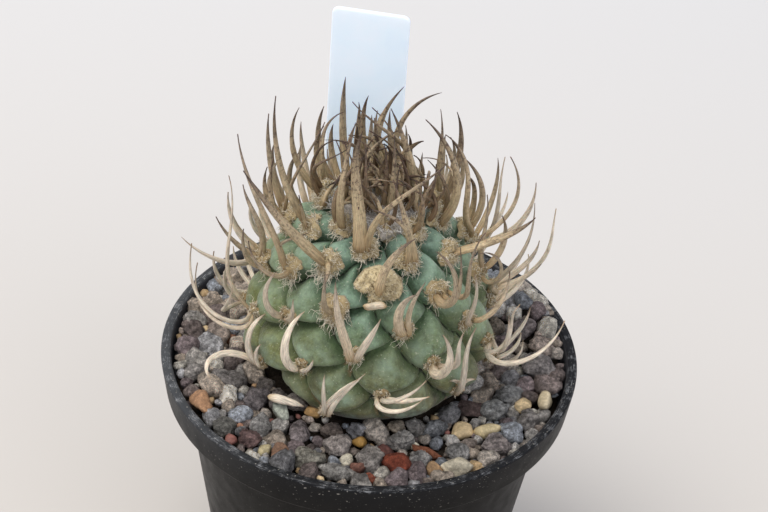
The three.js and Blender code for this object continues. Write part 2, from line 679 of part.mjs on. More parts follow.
function pointAlong(path, place) {
  const k = Math.min(Math.floor(place), path.length - 2);
  return path[k].clone().lerp(path[k + 1], place - k);
}

const areoles = Array.from({ length: LAST_AREOLE + 1 }, (_, index) => areole(index));

// Each spine in turn is bent a little further until it is clear of what is already there,
// and one that finds no room is left out
function clearedSpines() {
  const placed = [];
  const twists = [0, 6, -6, 12, -12, 20, -20, 30, -30];
  allSpines().forEach((spine) => {
    for (const shrink of [1, 0.85, 0.7]) {
      for (let lean = 0; lean <= 1.6; lean += 0.16) {
        for (const twist of twists) {
          const bent = { ...spine, lean, twist, shrink };
          const path = spinePath(bent);
          if (isClear(path, bent, placed)) {
            placed.push({ node: nodeOf(spine.index), path, width: spine.shape[5], spine: bent });
            return;
          }
        }
      }
    }
  });
  return placed;
}

// Gravel

function groundSolid() {
  const rings = [0, 12, 19, 25, innerCollarRadius - 1.5 * GAP];
  const points = [];
  const draw = draws(5);
  const ringPoints = (radius, z) => Array.from({ length: POT_SIDES }, (_, k) => {
    const angle = 2 * Math.PI * k / POT_SIDES;
    const x = radius * Math.sin(angle);
    const y = radius * Math.cos(angle);
    return vector(x, y, z === undefined ? groundZ(x, y) + draw(-0.5, 0.25) : z);
  });
  points.push(vector(0, 0, groundZ(0, 0)));
  rings.slice(1).forEach((radius) => points.push(...ringPoints(radius)));
  points.push(...ringPoints(innerCollarRadius - 1.5 * GAP, innerShoulderZ + GAP));
  points.push(...ringPoints(innerShoulderRadius - GAP, innerShoulderZ + GAP));
  points.push(...ringPoints(innerFootRadius - GAP, FLOOR_THICKNESS + GAP));
  points.push(vector(0, 0, FLOOR_THICKNESS + GAP));
  const bottom = points.length - 1;
  const ringCount = (points.length - 2) / POT_SIDES;
  const at = (ring, k) => 1 + ring * POT_SIDES + k % POT_SIDES;
  const faces = [];
  for (let k = 0; k < POT_SIDES; k += 1) {
    faces.push(0, at(0, k + 1), at(0, k));
    for (let ring = 0; ring < ringCount - 1; ring += 1) {
      faces.push(at(ring, k), at(ring, k + 1), at(ring + 1, k + 1));
      faces.push(at(ring, k), at(ring + 1, k + 1), at(ring + 1, k));
    }
    faces.push(bottom, at(ringCount - 1, k), at(ringCount - 1, k + 1));
  }
  return solidOf(meshGeometry(points, faces));
}

// Places for the stones, thrown one by one and kept where they are clear of the plant and the spines
function stonePlaces(placedSpines) {
  const draw = draws(31);
  const places = [];
  for (let thrown = 0; thrown < STONE_TRIES && places.length < STONE_COUNT; thrown += 1) {
    const angle = draw(0, 2 * Math.PI);
    const distance = Math.sqrt(draw(13 * 13, 29.5 * 29.5));
    const radius = lerp(SMALLEST_STONE, LARGEST_STONE, draw(0, 1) ** 1.6);
    const x = distance * Math.sin(angle);
    const y = distance * Math.cos(angle);
    const centre = vector(x, y, groundZ(x, y) + 0.12 * radius);
    const crowded = places.some((place) => (
      Math.hypot(place.centre.x - x, place.centre.y - y) < 0.95 * (place.radius + radius)
    ));
    const touched = placedSpines.some(({ path, width }) => path.some((point) => (
      point.distanceTo(centre) < 1.35 * radius + GAP + width / 2
    )));
    const woolly = areoles.some(({ foot }, index) => (
      index >= CROWN_AREOLES && foot.distanceTo(centre) < 1.35 * radius + woolSize(index).across + GAP
    ));
    const seed = Math.floor(draw(1, 100000));
    if (!crowded && !touched && !woolly) places.push({ centre, radius, seed });
  }
  return places;
}

function stone({ centre, radius, seed }) {
  const draw = draws(seed);
  const block = new THREE.BoxGeometry(1.7, 1.7, 1.7);
  const merged = mergeVertices(block.deleteAttribute('normal').deleteAttribute('uv'), 1e-4);
  const position = merged.attributes.position;
  for (let k = 0; k < position.count; k += 1) {
    const chip = draw(0.72, 1.12);
    position.setXYZ(k, position.getX(k) * chip, position.getY(k) * chip, position.getZ(k) * chip);
  }
  merged.scale(radius * draw(0.9, 1.15), radius * draw(0.8, 1.05), radius * draw(0.65, 0.95));
  merged.applyMatrix4(new THREE.Matrix4().makeRotationFromEuler(
    new THREE.Euler(draw(-0.5, 0.5), draw(-0.5, 0.5), draw(0, 2 * Math.PI)),
  ));
  return solidOf(merged.translate(...centre.toArray()));
}

function gritBed(placedSpines) {
  let bed = groundSolid();
  stonePlaces(placedSpines).forEach((place) => {
    bed = bed.add(stone(place));
  });
  const wool = areoles.map((_, index) => index).filter((index) => index > 50);
  bed = bed.intersect(potRoom()).subtract(plantHole()).subtract(solidOf(label(GAP)));
  wool.forEach((index) => {
    bed = bed.subtract(woolHollow(index));
  });
  return largestBody(bed);
}

// The room that a low wool cushion needs in the gravel
function woolHollow(index) {
  const { foot, normal, up, side } = areoles[index];
  const { across, along, thick } = woolSize(index);
  const grown = (size) => 1.15 * size + 2 * GAP;
  const hollow = new THREE.SphereGeometry(1, WOOL_SIDES, 4).rotateX(Math.PI / 2);
  hollow.applyMatrix4(new THREE.Matrix4().makeBasis(
    side.clone().multiplyScalar(grown(across)),
    up.clone().multiplyScalar(grown(along)),
    normal.clone().multiplyScalar(grown(thick)),
  ));
  return solidOf(hollow.translate(...foot.toArray()));
}

// Label

// A flat strip with rounded upper corners and a point to push it in with
function label(margin) {
  const half = LABEL_WIDTH / 2 + margin;
  const corner = 1;
  const foot = LABEL_TOP_Z - LABEL_LENGTH - margin;
  const top = LABEL_TOP_Z + margin;
  const outline = new THREE.Shape();
  outline.moveTo(-1 - margin, foot);
  outline.lineTo(1 + margin, foot);
  outline.lineTo(half, foot + LABEL_POINT);
  outline.lineTo(half, top - corner);
  outline.absarc(half - corner, top - corner, corner, 0, Math.PI / 2);
  outline.absarc(corner - half, top - corner, corner, Math.PI / 2, Math.PI);
  outline.lineTo(-half, foot + LABEL_POINT);
  outline.closePath();
  const depth = LABEL_THICKNESS + 2 * margin;
  const strip = new THREE.ExtrudeGeometry(outline, { depth, bevelEnabled: false, curveSegments: 3 });
  strip.translate(0, 0, -depth / 2).rotateX(Math.PI / 2).rotateZ(radians(LABEL_TURN));
  return strip.translate(LABEL_X, LABEL_Y, 0);
}

// Assembly

const group = new THREE.Group();

function addPiece(name, solid, material) {
  const mesh = new THREE.Mesh(geometryOf(solid), material);
  mesh.name = name;
  group.add(mesh);
}

const stem = solidOf(skin(0));
const stemSocket = solidOf(skin(GAP));
const spines = clearedSpines();

function tuft(node, cushions) {
  let solid = cushions.reduce((sum, cushion) => sum.add(cushion));
  spines.filter((entry) => entry.node === node).forEach((entry) => {
    solid = solid.add(spineSolid(entry.spine));
  });
  return largestBody(solid.subtract(stemSocket));
}

addPiece('pot', pot(), materials.pot);
addPiece('grit_bed', gritBed(spines), materials.grit);
addPiece('label', solidOf(label(0)), materials.label);
addPiece('stem', stem, materials.stem);

const outerWool = [12, 13, 14, 15, 16, 17, 18].map((index) => woolCushion(index));
addPiece('crown', tuft('crown', [crownFelt(), ...outerWool]), materials.crown);

for (let index = CROWN_AREOLES; index <= LAST_AREOLE; index += 1) {
  const node = nodeOf(index);
  addPiece(node, tuft(node, [woolCushion(index)]), materials.areole);
}

export default group;
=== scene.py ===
"""A round globular cactus in a small black plastic pot, with gravel round it and a plain plant label.

Lengths are in millimetres until a mesh is made, and metres in the mesh and in the materials. +Z is up, the
origin is under the middle of the pot, and the front looks along -Y.
"""
import math

import bpy
import numpy as np
from mathutils import Matrix


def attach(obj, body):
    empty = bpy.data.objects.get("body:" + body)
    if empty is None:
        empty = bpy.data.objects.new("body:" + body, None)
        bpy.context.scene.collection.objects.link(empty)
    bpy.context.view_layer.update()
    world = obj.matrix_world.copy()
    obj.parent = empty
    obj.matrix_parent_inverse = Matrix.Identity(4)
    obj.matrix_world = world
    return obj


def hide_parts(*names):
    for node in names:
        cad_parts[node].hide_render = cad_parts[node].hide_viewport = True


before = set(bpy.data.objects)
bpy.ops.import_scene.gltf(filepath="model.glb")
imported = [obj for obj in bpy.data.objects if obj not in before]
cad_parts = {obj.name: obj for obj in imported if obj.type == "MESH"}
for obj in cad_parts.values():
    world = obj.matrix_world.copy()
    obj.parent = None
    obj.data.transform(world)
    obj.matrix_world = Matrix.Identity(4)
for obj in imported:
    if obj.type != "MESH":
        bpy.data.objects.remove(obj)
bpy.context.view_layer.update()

# A millimetre in metres, and the gap in millimetres between pieces that stay clear of each other
MM = 0.001
GAP = 0.3

# Pot
POT_HEIGHT = 52
RIM_RADIUS = 32.5
RIM_INNER_RADIUS = 30.9
COLLAR_HEIGHT = 6
COLLAR_FOOT_RADIUS = 31.65
SHOULDER_RADIUS = 28.6
FOOT_RADIUS = 21.5
POT_WALL = 1.2
FLOOR_THICKNESS = 1.6
HOLE_COUNT = 6
HOLE_RADIUS = 2.4
HOLE_CIRCLE = 13

# Plant body, measured in the creases between its tubercles
STEM_X = -0.4
STEM_CENTRE_Z = POT_HEIGHT + 3.2
STEM_RADIUS = 17.6
STEM_TOP = 23.8
STEM_UNDERSIDE = 9
STEM_SQUARENESS = 2.1
ROOT_RADIUS = 10
ROOT_TIP_RADIUS = 2
ROOT_LENGTH = 15
TUBERCLE_HEIGHT = 1.9

# The tubercles overlap like scales: their creases are sunk, and drawn up under the chins of the ones above
CREASE_DEPTH = 1.3
OVERHANG = 0.9

# Spiral of the tubercles: each one stands a fixed angle round from the one before
DIVERGENCE = 99.42
FRONT_TUBERCLE = 28
FRONT_AZIMUTH = 4.7
FIRST_SPACING = 0.47
SPACING_GROWTH = 0.00075
STEEP_STEP = 11
STEEP_TURN = STEEP_STEP * DIVERGENCE - 3 * 360
FLAT_STEP = 7
FLAT_TURN = FLAT_STEP * DIVERGENCE - 2 * 360
FACETS = 22
FULL_RELIEF_FROM = 16
FULL_RELIEF_TO = 64
LAST_TUBERCLE = 72
ROOT_STEPS = 8

# The crease lies nearer below the areole than above it, and the chin there is the steeper side
CHIN = 0.2
CHIN_FULLNESS = 3.6
BROW_FULLNESS = 2.7

# Areoles, numbered from the growing point. The wool is full on the younger ones and wears away further
# out. Shaggy ones have more of the hairs that hang from the edge, and long ones have longer hairs there.
FIRST_WOOLLY_AREOLE = 8
CROWN_AREOLES = 19
LAST_AREOLE = 66
CROWN_REACH = 8.8
WOOL_RADIUS = 2
FULL_WOOL_TO = 34
WORN_WOOL_FROM = 60
SCANT_WOOL_FROM = 39
SHAGGY_WOOL = (24, 31, 35)
LONG_WOOL = (24, 31)
SPINE_STEPS = 12
BLADE_STEPS = 23
SPINE_TAPER = 0.75
SPINE_DEPTH = 0.75
SPINE_FOOT_LIFT = 0.72
SPINE_FOOT_DROP = 0.22
SPINE_FOOT_SPREAD = 0.55

# Gravel: how far its edge lies under the rim, the mound round the plant, the heap behind it, and how near
# to the pot's axis and how far from it the stones lie
GRAVEL_DEPTH = 3.4
MOUND_HEIGHT, MOUND_RADIUS = 1.1, 26
HEAP_X, HEAP_Y, HEAP_HEIGHT, HEAP_SPREAD = 24, 11, 4.2, 5.5
STONES_FROM, STONES_TO = 11, 30.6

# Label
LABEL_WIDTH = 12
LABEL_THICKNESS = 0.7
LABEL_LENGTH = 68
LABEL_POINT = 12
LABEL_TOP_Z = 99.2
LABEL_X = -3.4
LABEL_Y = 22.8
LABEL_TURN = -8

# Every spine that shows from the front, by its areole:
# turn and rise at the root, turn and rise at the tip (degrees), length and width
SEEN_SPINES = {
    3: [[-20, 60, -25, 120, 13.5, 1.5]],
    5: [[-65, 70, -130, 175, 16.5, 0.7]],
    7: [[-40, 115, -140, 30, 11.5, 0.8]],
    8: [[-25, 90, -90, 155, 12.5, 0.7]],
    9: [[-55, 110, -50, 45, 10.5, 1.1], [-10, 125, -40, 155, 9, 0.6]],
    10: [[0, 100, 60, 165, 7, 0.8]],
    11: [[-15, 100, -5, 115, 17.5, 1.7]],
    12: [[30, 70, 10, 120, 12, 0.7]],
    13: [[15, 75, 30, 130, 17, 1.4]],
    14: [[30, 105, 85, 40, 10.5, 1]],
    15: [[70, 105, -105, 155, 21.5, 1.2]],
    16: [[-140, 110, 45, 150, 15, 0.9]],
    17: [[10, 125, 100, 75, 19, 2], [40, 85, 150, 15, 20.5, 1]],
    18: [[-15, 60, -25, 150, 19, 1.5], [0, 75, -20, 145, 10.5, 0.9], [35, 55, 190, -5, 12, 0.6]],
    19: [[10, 80, 75, 125, 17.5, 1.3]],
    20: [[0, 75, 0, 80, 6, 0.7], [-15, 60, -30, 95, 23, 1.2]],
    21: [[-45, 105, -135, 10, 13.5, 1], [20, 110, 30, 115, 13, 1.2]],
    22: [[25, 115, 75, 55, 15.5, 1]],
    23: [[35, 110, -120, 15, 13.5, 1]],
    24: [[-25, 50, -60, 60, 21.5, 1.7], [45, 20, 15, -45, 4.5, 0.8]],
    25: [[25, 20, -15, 60, 15.5, 1.3]],
    26: [[-50, 130, -85, 25, 20.5, 1.3], [70, 35, 70, 130, 14.5, 1.1]],
    27: [[-20, 90, 70, 140, 17, 0.7]],
    28: [[110, 90, 95, 35, 11, 1.3]],
    29: [[5, 120, 170, 35, 18.5, 1.2]],
    30: [[0, 60, 0, 100, 18, 1.3]],
    31: [[-5, 80, 150, 20, 12, 0.6], [10, 75, -105, 55, 23.5, 1.2], [40, 10, -45, 85, 13, 0.9]],
    32: [[-25, 0, 25, 165, 15.5, 1.4], [-20, 10, -30, 130, 15.5, 0.9], [0, 10, -95, 140, 18.5, 1]],
    34: [[-10, 60, 0, 95, 17, 1.2]],
    36: [[20, 110, 120, 50, 13.5, 0.9], [-60, -5, 45, 180, 12, 0.8]],
    38: [[20, 35, -20, 65, 10.5, 1], [30, 110, -85, 25, 13.5, 1.2]],
    39: [[-60, 55, -135, 145, 9.5, 1.6], [40, 105, 115, 50, 9.5, 1]],
    40: [[-45, 25, -20, 95, 16, 1.2], [-5, 25, -40, 125, 17.5, 0.9]],
    42: [[10, 30, -45, 130, 11.5, 1.3], [80, 30, 40, 105, 6.5, 1]],
    43: [[-85, 40, 50, 110, 14, 1], [-25, 35, 95, 95, 13, 0.9]],
    45: [[115, 20, -10, 35, 18.5, 1]],
    46: [[5, 65, -155, 85, 16, 1.5], [35, 65, 110, 70, 10, 1.3]],
    47: [[-145, 45, 100, 75, 23, 1.1]],
    49: [[-25, 50, 95, 140, 24, 0.8], [75, 10, -135, 75, 22, 0.8], [80, 5, -135, 65, 19.5, 0.8]],
    50: [[-25, 5, 40, 130, 13.5, 1.7], [35, 15, -90, 120, 12, 1.1]],
    51: [[-40, 55, -160, 110, 20.5, 0.9]],
    53: [[10, 30, -35, 145, 14.5, 1.6], [60, 25, 115, 85, 4.5, 0.8]],
    54: [[-90, 5, 75, 60, 22, 1.2], [-105, 5, 200, 120, 15, 1], [-60, 0, -50, 110, 15, 0.9]],
    56: [[45, 5, 160, 85, 15, 0.8]],
    57: [[-5, 30, 100, 55, 12.5, 1], [20, 30, 70, 35, 9.5, 1.1], [-10, 10, 100, 45, 11.5, 1]],
    58: [[25, 30, -130, 100, 22.5, 1]],
    60: [[-20, 50, -45, 140, 11.5, 1.4], [-55, 25, 90, 0, 14, 1.3], [-10, 55, -45, 125, 5, 0.8]],
    61: [[-5, 60, -95, 125, 13.5, 1.5], [5, 90, 10, 25, 5, 0.9], [70, 105, 85, 160, 5, 0.9]],
    64: [[25, 70, -60, 95, 9, 0.9], [-80, 115, -95, 130, 12.5, 1.8], [60, 75, 125, 45, 11, 1.1]],
}
SPINES_OUT_OF_SIGHT = 3
OUT_OF_SIGHT_AZIMUTH = 75
CROWN_SPINES = 2

# Wool cushions that are larger or smaller than the rule: areole, then width and height against the rule
ODD_WOOL = {28: [1.8, 1.35], 31: [1.1, 0.9], 35: [1.15, 1.2], 42: [1.1, 0.85]}


# Camera

def set_up(name, data, right, up, back, place):
    """Puts a camera or a lamp in the scene. It faces away from its back direction."""
    made = bpy.data.objects.new(name, data)
    bpy.context.scene.collection.objects.link(made)
    made.matrix_world = Matrix([[right[k], up[k], back[k], place[k]] for k in range(3)] + [[0, 0, 0, 1]])
    return made


def photo_camera():
    """A long lens that looks down at the plant and is rolled a little, so that the plant leans to the
    right. Its focal length counts in pixels of a picture of this width."""
    elevation, roll = math.radians(37.117), math.radians(4.166)
    distance, focal_length, picture_width = 346.67, 2294, 768
    target = np.array([1.149, 0, POT_HEIGHT + 18.33])
    back = np.array([0, -math.cos(elevation), math.sin(elevation)])
    above = np.array([0, math.sin(elevation), math.cos(elevation)])
    level = np.array([1, 0, 0])
    right = math.cos(roll) * level + math.sin(roll) * above
    up = math.cos(roll) * above - math.sin(roll) * level
    lens = bpy.data.cameras.new("camera")
    lens.sensor_width = 36
    lens.lens = focal_length * 36 / picture_width
    lens.clip_start = 0.01
    lens.clip_end = 20
    lens.dof.use_dof = False
    bpy.context.scene.camera = set_up("camera", lens, right, up, back, (target + distance * back) * MM)


photo_camera()


# Colours and materials

def linear(code):
    """An sRGB hex colour as the linear colour that the shaders take."""
    parts = [int(code[k:k + 2], 16) / 255 for k in (1, 3, 5)]
    return [v / 12.92 if v <= 0.04045 else ((v + 0.055) / 1.055) ** 2.4 for v in parts] + [1]


def fill(tree, made, inputs):
    """Gives a node's inputs, by name or number, their values, or links them to other nodes' outputs."""
    for name, value in inputs.items():
        if isinstance(value, bpy.types.NodeSocket):
            tree.links.new(value, made.inputs[name])
        else:
            made.inputs[name].default_value = value


# The sockets of a Mix node that mixes colours, whose names other sockets have too
SHARE, UNDER, OVER, MIXED = 0, 6, 7, 2


def node(tree, kind, inputs, out=0, stops=(), **settings):
    """Adds a shader node with its settings and inputs, and gives one of its outputs. Stops are places from
    0 to 1 along a colour ramp, each with its sRGB colour, or its grey as a number."""
    made = tree.nodes.new("ShaderNode" + kind)
    for name, value in settings.items():
        setattr(made, name, value)
    fill(tree, made, inputs)
    if stops:
        elements = made.color_ramp.elements
        while len(elements) < len(stops):
            elements.new(0.5)
        for element, (place, colour) in zip(elements, stops):
            element.position = place
            element.color = linear(colour) if isinstance(colour, str) else [colour] * 3 + [1]
    return made.outputs[out]


def begun(name, uniform, grains=(), values=()):
    """A new material, its tree and its shader, with the uniform values on the shader's own sockets. Then the
    place on the object, a noise for each row of grains, and the mesh's own values by their names. A grain
    says how many of its features go in a millimetre, its detail and its roughness."""
    material = bpy.data.materials.new(name)
    material.use_nodes = True
    tree = material.node_tree
    shader = tree.nodes["Principled BSDF"]
    fill(tree, shader, uniform)
    place = node(tree, "TexCoord", {}, "Object")
    noises = [node(tree, "TexNoise", {"Vector": place, "Scale": per_mm / MM, "Detail": detail,
                                      "Roughness": rough}) for per_mm, detail, rough in grains]
    own = [node(tree, "Attribute", {}, "Fac", attribute_name=value) for value in values]
    return material, tree, shader, place, *noises, *own


def pot_plastic():
    """Polypropylene, injection moulded from black granules: dense black with a soft satin skin. The lip is
    rubbed to grey and painted paler towards the left as a painted highlight, with scratches round it and pale
    specks of grit, and the inside is painted grey, partly dust and partly painted light."""
    material, tree, shader, place, patches, tint, specks, satin, pores, edge, inside = begun(
        "black_polypropylene_moulded", {"IOR": 1.49, "Specular IOR Level": 0.1},
        ((0.5, 5, 0.7), (0.15, 4, 0.55), (2.6, 2, 0.5), (0.4, 4, 0.55), (3.5, 3, 0.55)), ("edge", "inside"))
    round_the_pot = node(tree, "Mapping", {"Vector": node(tree, "UVMap", {}), "Scale": (0.4, 12.0, 1.0)})
    scratch = node(tree, "TexNoise", {"Vector": round_the_pot, "Scale": 1.0, "Detail": 3.0, "Roughness": 0.6})
    patchy = node(tree, "Math", {0: edge, 1: patches}, operation="MULTIPLY")
    rubbed = node(tree, "Math", {0: scratch, 1: patchy}, operation="MULTIPLY")
    scuff = node(tree, "ValToRGB", {"Fac": rubbed}, stops=[(0.28, 0.0), (0.35, 0.6)])
    speck = node(tree, "ValToRGB", {"Fac": specks}, stops=[(0.67, 0.0), (0.74, 0.9)])
    gritty = node(tree, "Math", {0: speck, 1: edge}, operation="MULTIPLY")
    across = node(tree, "SeparateXYZ", {0: place}, "X")
    # Painted highlight: the lip's grey turns paler towards the left.
    highlight_leftwards = node(tree, "MapRange", {"Value": across, "From Min": -12 * MM, "From Max": -31 * MM})
    lip = node(tree, "Mix", {SHARE: highlight_leftwards, UNDER: linear("#1b1c1f"), OVER: linear("#424447")}, MIXED,
               data_type="RGBA")
    colour = node(tree, "ValToRGB", {"Fac": tint}, stops=[(0.3, "#070606"), (0.7, "#0b0a09")])
    # The inside's grey is partly dust and partly painted light on the inner wall.
    for share, over in ((edge, lip), (inside, linear("#45464a")), (scuff, linear("#999b9f")),
                        (gritty, linear("#a7a39c"))):
        colour = node(tree, "Mix", {SHARE: share, UNDER: colour, OVER: over}, MIXED, data_type="RGBA")
    fill(tree, shader, {
        "Base Color": colour,
        "Roughness": node(tree, "ValToRGB", {"Fac": satin}, stops=[(0.3, 0.38), (0.7, 0.52)]),
        "Normal": node(tree, "Bump", {"Height": pores, "Strength": 0.25, "Distance": 0.05 * MM}),
    })
    return material


def waxy_skin():
    """The plant's skin: a blue-green wax over green flesh. It is bluest near the growing point and turns to
    olive and straw low down, then dark brown at the very bottom, partly cork and partly painted shade under
    the plant. It is more yellow on the left and paler on the right. It is painted dark green to black towards
    the creases, as painted shade, brown and corky in old scars, brown at the gravel, partly cork and partly
    painted shade, and has fine pale specks of dust."""
    (material, tree, shader, place, drift, clouds, motes, scars, cork, specks, satin, fine, coarse,
     age, crease) = begun("waxy_cactus_skin", {
         "IOR": 1.45, "Specular IOR Level": 0.4, "Sheen Weight": 0.12, "Sheen Roughness": 0.5,
         "Subsurface Weight": 0.12, "Subsurface Scale": 1.2 * MM, "Subsurface Radius": (0.6, 1.0, 0.35),
     }, ((0.12, 3, 0.55), (0.35, 5, 0.6), (0.9, 8, 0.8), (0.35, 5, 0.65), (0.5, 5, 0.65), (3.0, 2, 0.5),
         (0.8, 3, 0.55), (2.4, 4, 0.65), (0.6, 4, 0.6)), ("age", "crease"))
    across, height = (node(tree, "SeparateXYZ", {0: place}, axis) for axis in "XZ")
    on_left, on_right, in_gravel = (
        node(tree, "MapRange", {"Value": way, "From Min": first * MM, "From Max": last * MM, "To Max": most})
        for way, first, last, most in ((across, -6, -18, 0.75), (across, 8, 18, 0.35),
                                       (height, 54.5, 50.5, 1)))
    shift = node(tree, "Math", {0: drift, 1: -0.5}, operation="ADD")
    drifted = node(tree, "Math", {0: shift, 1: 0.5, 2: age}, operation="MULTIPLY_ADD")
    scarred = node(tree, "Math", {0: age, 1: 0.16, 2: scars}, operation="MULTIPLY_ADD")
    # Brown near the gravel: partly cork, partly painted shade at the plant's foot.
    cork_and_shade = node(tree, "Math", {0: in_gravel, 1: cork}, operation="MULTIPLY")
    colour, cloud, open_face, mottle, deep, crease_shadow, scar, scar_crease, bark_and_shade, speck, gloss = (
        node(tree, "ValToRGB", {"Fac": factor}, stops=stops) for factor, stops in (
            # This ramp ends in dark brown at the very bottom, partly cork and partly painted shade under the
            # plant.
            (drifted, [(0.16, "#6c8577"), (0.42, "#647d68"), (0.62, "#647554"), (0.78, "#6c7250"),
                       (0.88, "#726e4c"), (0.96, "#4d4535")]),
            (clouds, [(0.38, 0.0), (0.64, 0.6)]), (crease, [(0.0, 1.0), (0.7, 0.0)]),
            (motes, [(0.36, 0.6), (0.5, 0.98), (0.64, 1.38)]),
            # Painted shade: these two ramps darken the skin towards the creases, to dark green and then near
            # black.
            (crease, [(0.4, 0.0), (0.92, 0.7)]), (crease, [(0.82, 0.0), (0.94, 1.0)]),
            (scarred, [(0.67, 0.0), (0.74, 1.0)]), (crease, [(0.6, 0.0), (0.9, 0.95)]),
            (cork_and_shade, [(0.2, 0.0), (0.6, 0.85)]), (specks, [(0.66, 0.0), (0.74, 0.6)]),
            (satin, [(0.3, 0.42), (0.7, 0.62)])))
    wax = node(tree, "Math", {0: cloud, 1: open_face}, operation="MULTIPLY")
    healed = node(tree, "Math", {0: scar, 1: scar_crease}, operation="MULTIPLY")
    for share, over, how in (
            (on_left, linear("#727842"), "MIX"), (on_right, linear("#8f8f62"), "MIX"),
            (1.0, mottle, "MULTIPLY"), (wax, linear("#9bb39f"), "MIX"), (deep, linear("#45603c"), "MIX"),
            (crease_shadow, linear("#252a1a"), "MIX"), (bark_and_shade, linear("#6b5a43"), "MIX"),
            (healed, linear("#86704f"), "MIX"), (speck, linear("#c4c6b0"), "MIX")):
        colour = node(tree, "Mix", {SHARE: share, UNDER: colour, OVER: over}, MIXED, data_type="RGBA",
                      blend_type=how)
    grainy = node(tree, "Bump", {"Height": fine, "Strength": 0.7, "Distance": 0.16 * MM})
    relief = node(tree, "Bump", {"Height": coarse, "Strength": 0.5, "Distance": 0.5 * MM, "Normal": grainy})
    fill(tree, shader, {"Base Color": colour, "Roughness": gloss, "Normal": relief})
    return material


def papery_spine():
    """Dried spine: flat, papery and fibrous, with a grain along its length and a darker tip. Young ones are
    straw to dark horn, each with its own tone, and flecked with dark. They turn greyer with age, and those
    on the oldest areoles are bleached."""
    material, tree, shader, _, flecks, along, bleached, own = begun("dried_papery_spine", {
        "IOR": 1.5, "Specular IOR Level": 0.35, "Roughness": 0.62,
        "Subsurface Weight": 0.08, "Subsurface Scale": 0.5 * MM,
    }, ((1.9, 4, 0.7),), ("along", "bleached", "own_tone"))
    lengthways = node(tree, "Mapping", {"Vector": node(tree, "UVMap", {}), "Scale": (7.0, 0.45, 1.0)})
    grain = node(tree, "TexNoise", {"Vector": lengthways, "Scale": 1.0, "Detail": 4.0, "Roughness": 0.65})
    colour, horn, weathered, old, is_pale, is_weathered, is_old, tone, streak, fleck, upper, young = (
        node(tree, "ValToRGB", {"Fac": factor}, stops=stops) for factor, stops in (
            (along, [(0.0, "#866b4b"), (0.3, "#877056"), (0.7, "#74604f"), (0.95, "#3a2f2c")]),
            (along, [(0.0, "#907a5a"), (0.25, "#b8a685"), (0.6, "#ae9c80"), (0.94, "#564840")]),
            (along, [(0.0, "#a48b64"), (0.25, "#bda98a"), (0.7, "#afa089"), (0.97, "#625248")]),
            (along, [(0.0, "#b8a384"), (0.25, "#dfd3c0"), (0.85, "#dbcfbd"), (1.0, "#a08b72")]),
            (own, [(0.3, 0.0), (0.6, 1.0)]), (bleached, [(0.25, 0.0), (0.5, 1.0)]),
            (bleached, [(0.55, 0.0), (0.85, 1.0)]), (own, [(0.0, 0.6), (0.5, 0.95), (1.0, 1.2)]),
            (grain, [(0.36, 0.5), (0.5, 0.87), (0.62, 1.16)]), (flecks, [(0.5, 0.0), (0.6, 1.0)]),
            (along, [(0.1, 0.1), (0.6, 1.0)]), (bleached, [(0.2, 0.85), (0.8, 0.05)])))
    for share in (upper, young):
        fleck = node(tree, "Math", {0: fleck, 1: share}, operation="MULTIPLY")
    for share, over, how in (
            (is_pale, horn, "MIX"), (is_weathered, weathered, "MIX"), (is_old, old, "MIX"),
            (1.0, tone, "MULTIPLY"), (0.85, streak, "MULTIPLY"), (fleck, linear("#493934"), "MIX")):
        colour = node(tree, "Mix", {SHARE: share, UNDER: colour, OVER: over}, MIXED, data_type="RGBA",
                      blend_type=how)
    fibres = node(tree, "Bump", {"Height": grain, "Strength": 0.8, "Distance": 0.12 * MM})
    fill(tree, shader, {"Base Color": colour, "Normal": fibres})
    return material


def wool(name, foot, dark, middle, light):
    """Areole wool: short crimped plant hairs, matted at the foot and loose at the edge, from brown at the
    foot to tan or grey and cream. Each hair has its own shade, and the mat under the hairs is darker, partly
    its own brown and partly painted shade under the hairs."""
    material, tree, shader, _, tangle, fuzz, shade = begun(name, {
        "Roughness": 0.9, "Specular IOR Level": 0.15, "Sheen Weight": 0.25, "Sheen Roughness": 0.4,
    }, ((1.1, 4, 0.65), (3.0, 3, 0.7)), ("shade",))
    mixed = node(tree, "Math", {0: tangle, 1: 0.45, 2: shade}, operation="MULTIPLY_ADD")
    stops = [(0.18, foot), (0.4, dark), (0.75, middle), (11 / 12, light)]
    fill(tree, shader, {
        "Base Color": node(tree, "ValToRGB", {"Fac": mixed}, stops=stops),
        "Normal": node(tree, "Bump", {"Height": fuzz, "Strength": 0.9, "Distance": 0.25 * MM}),
    })
    return material


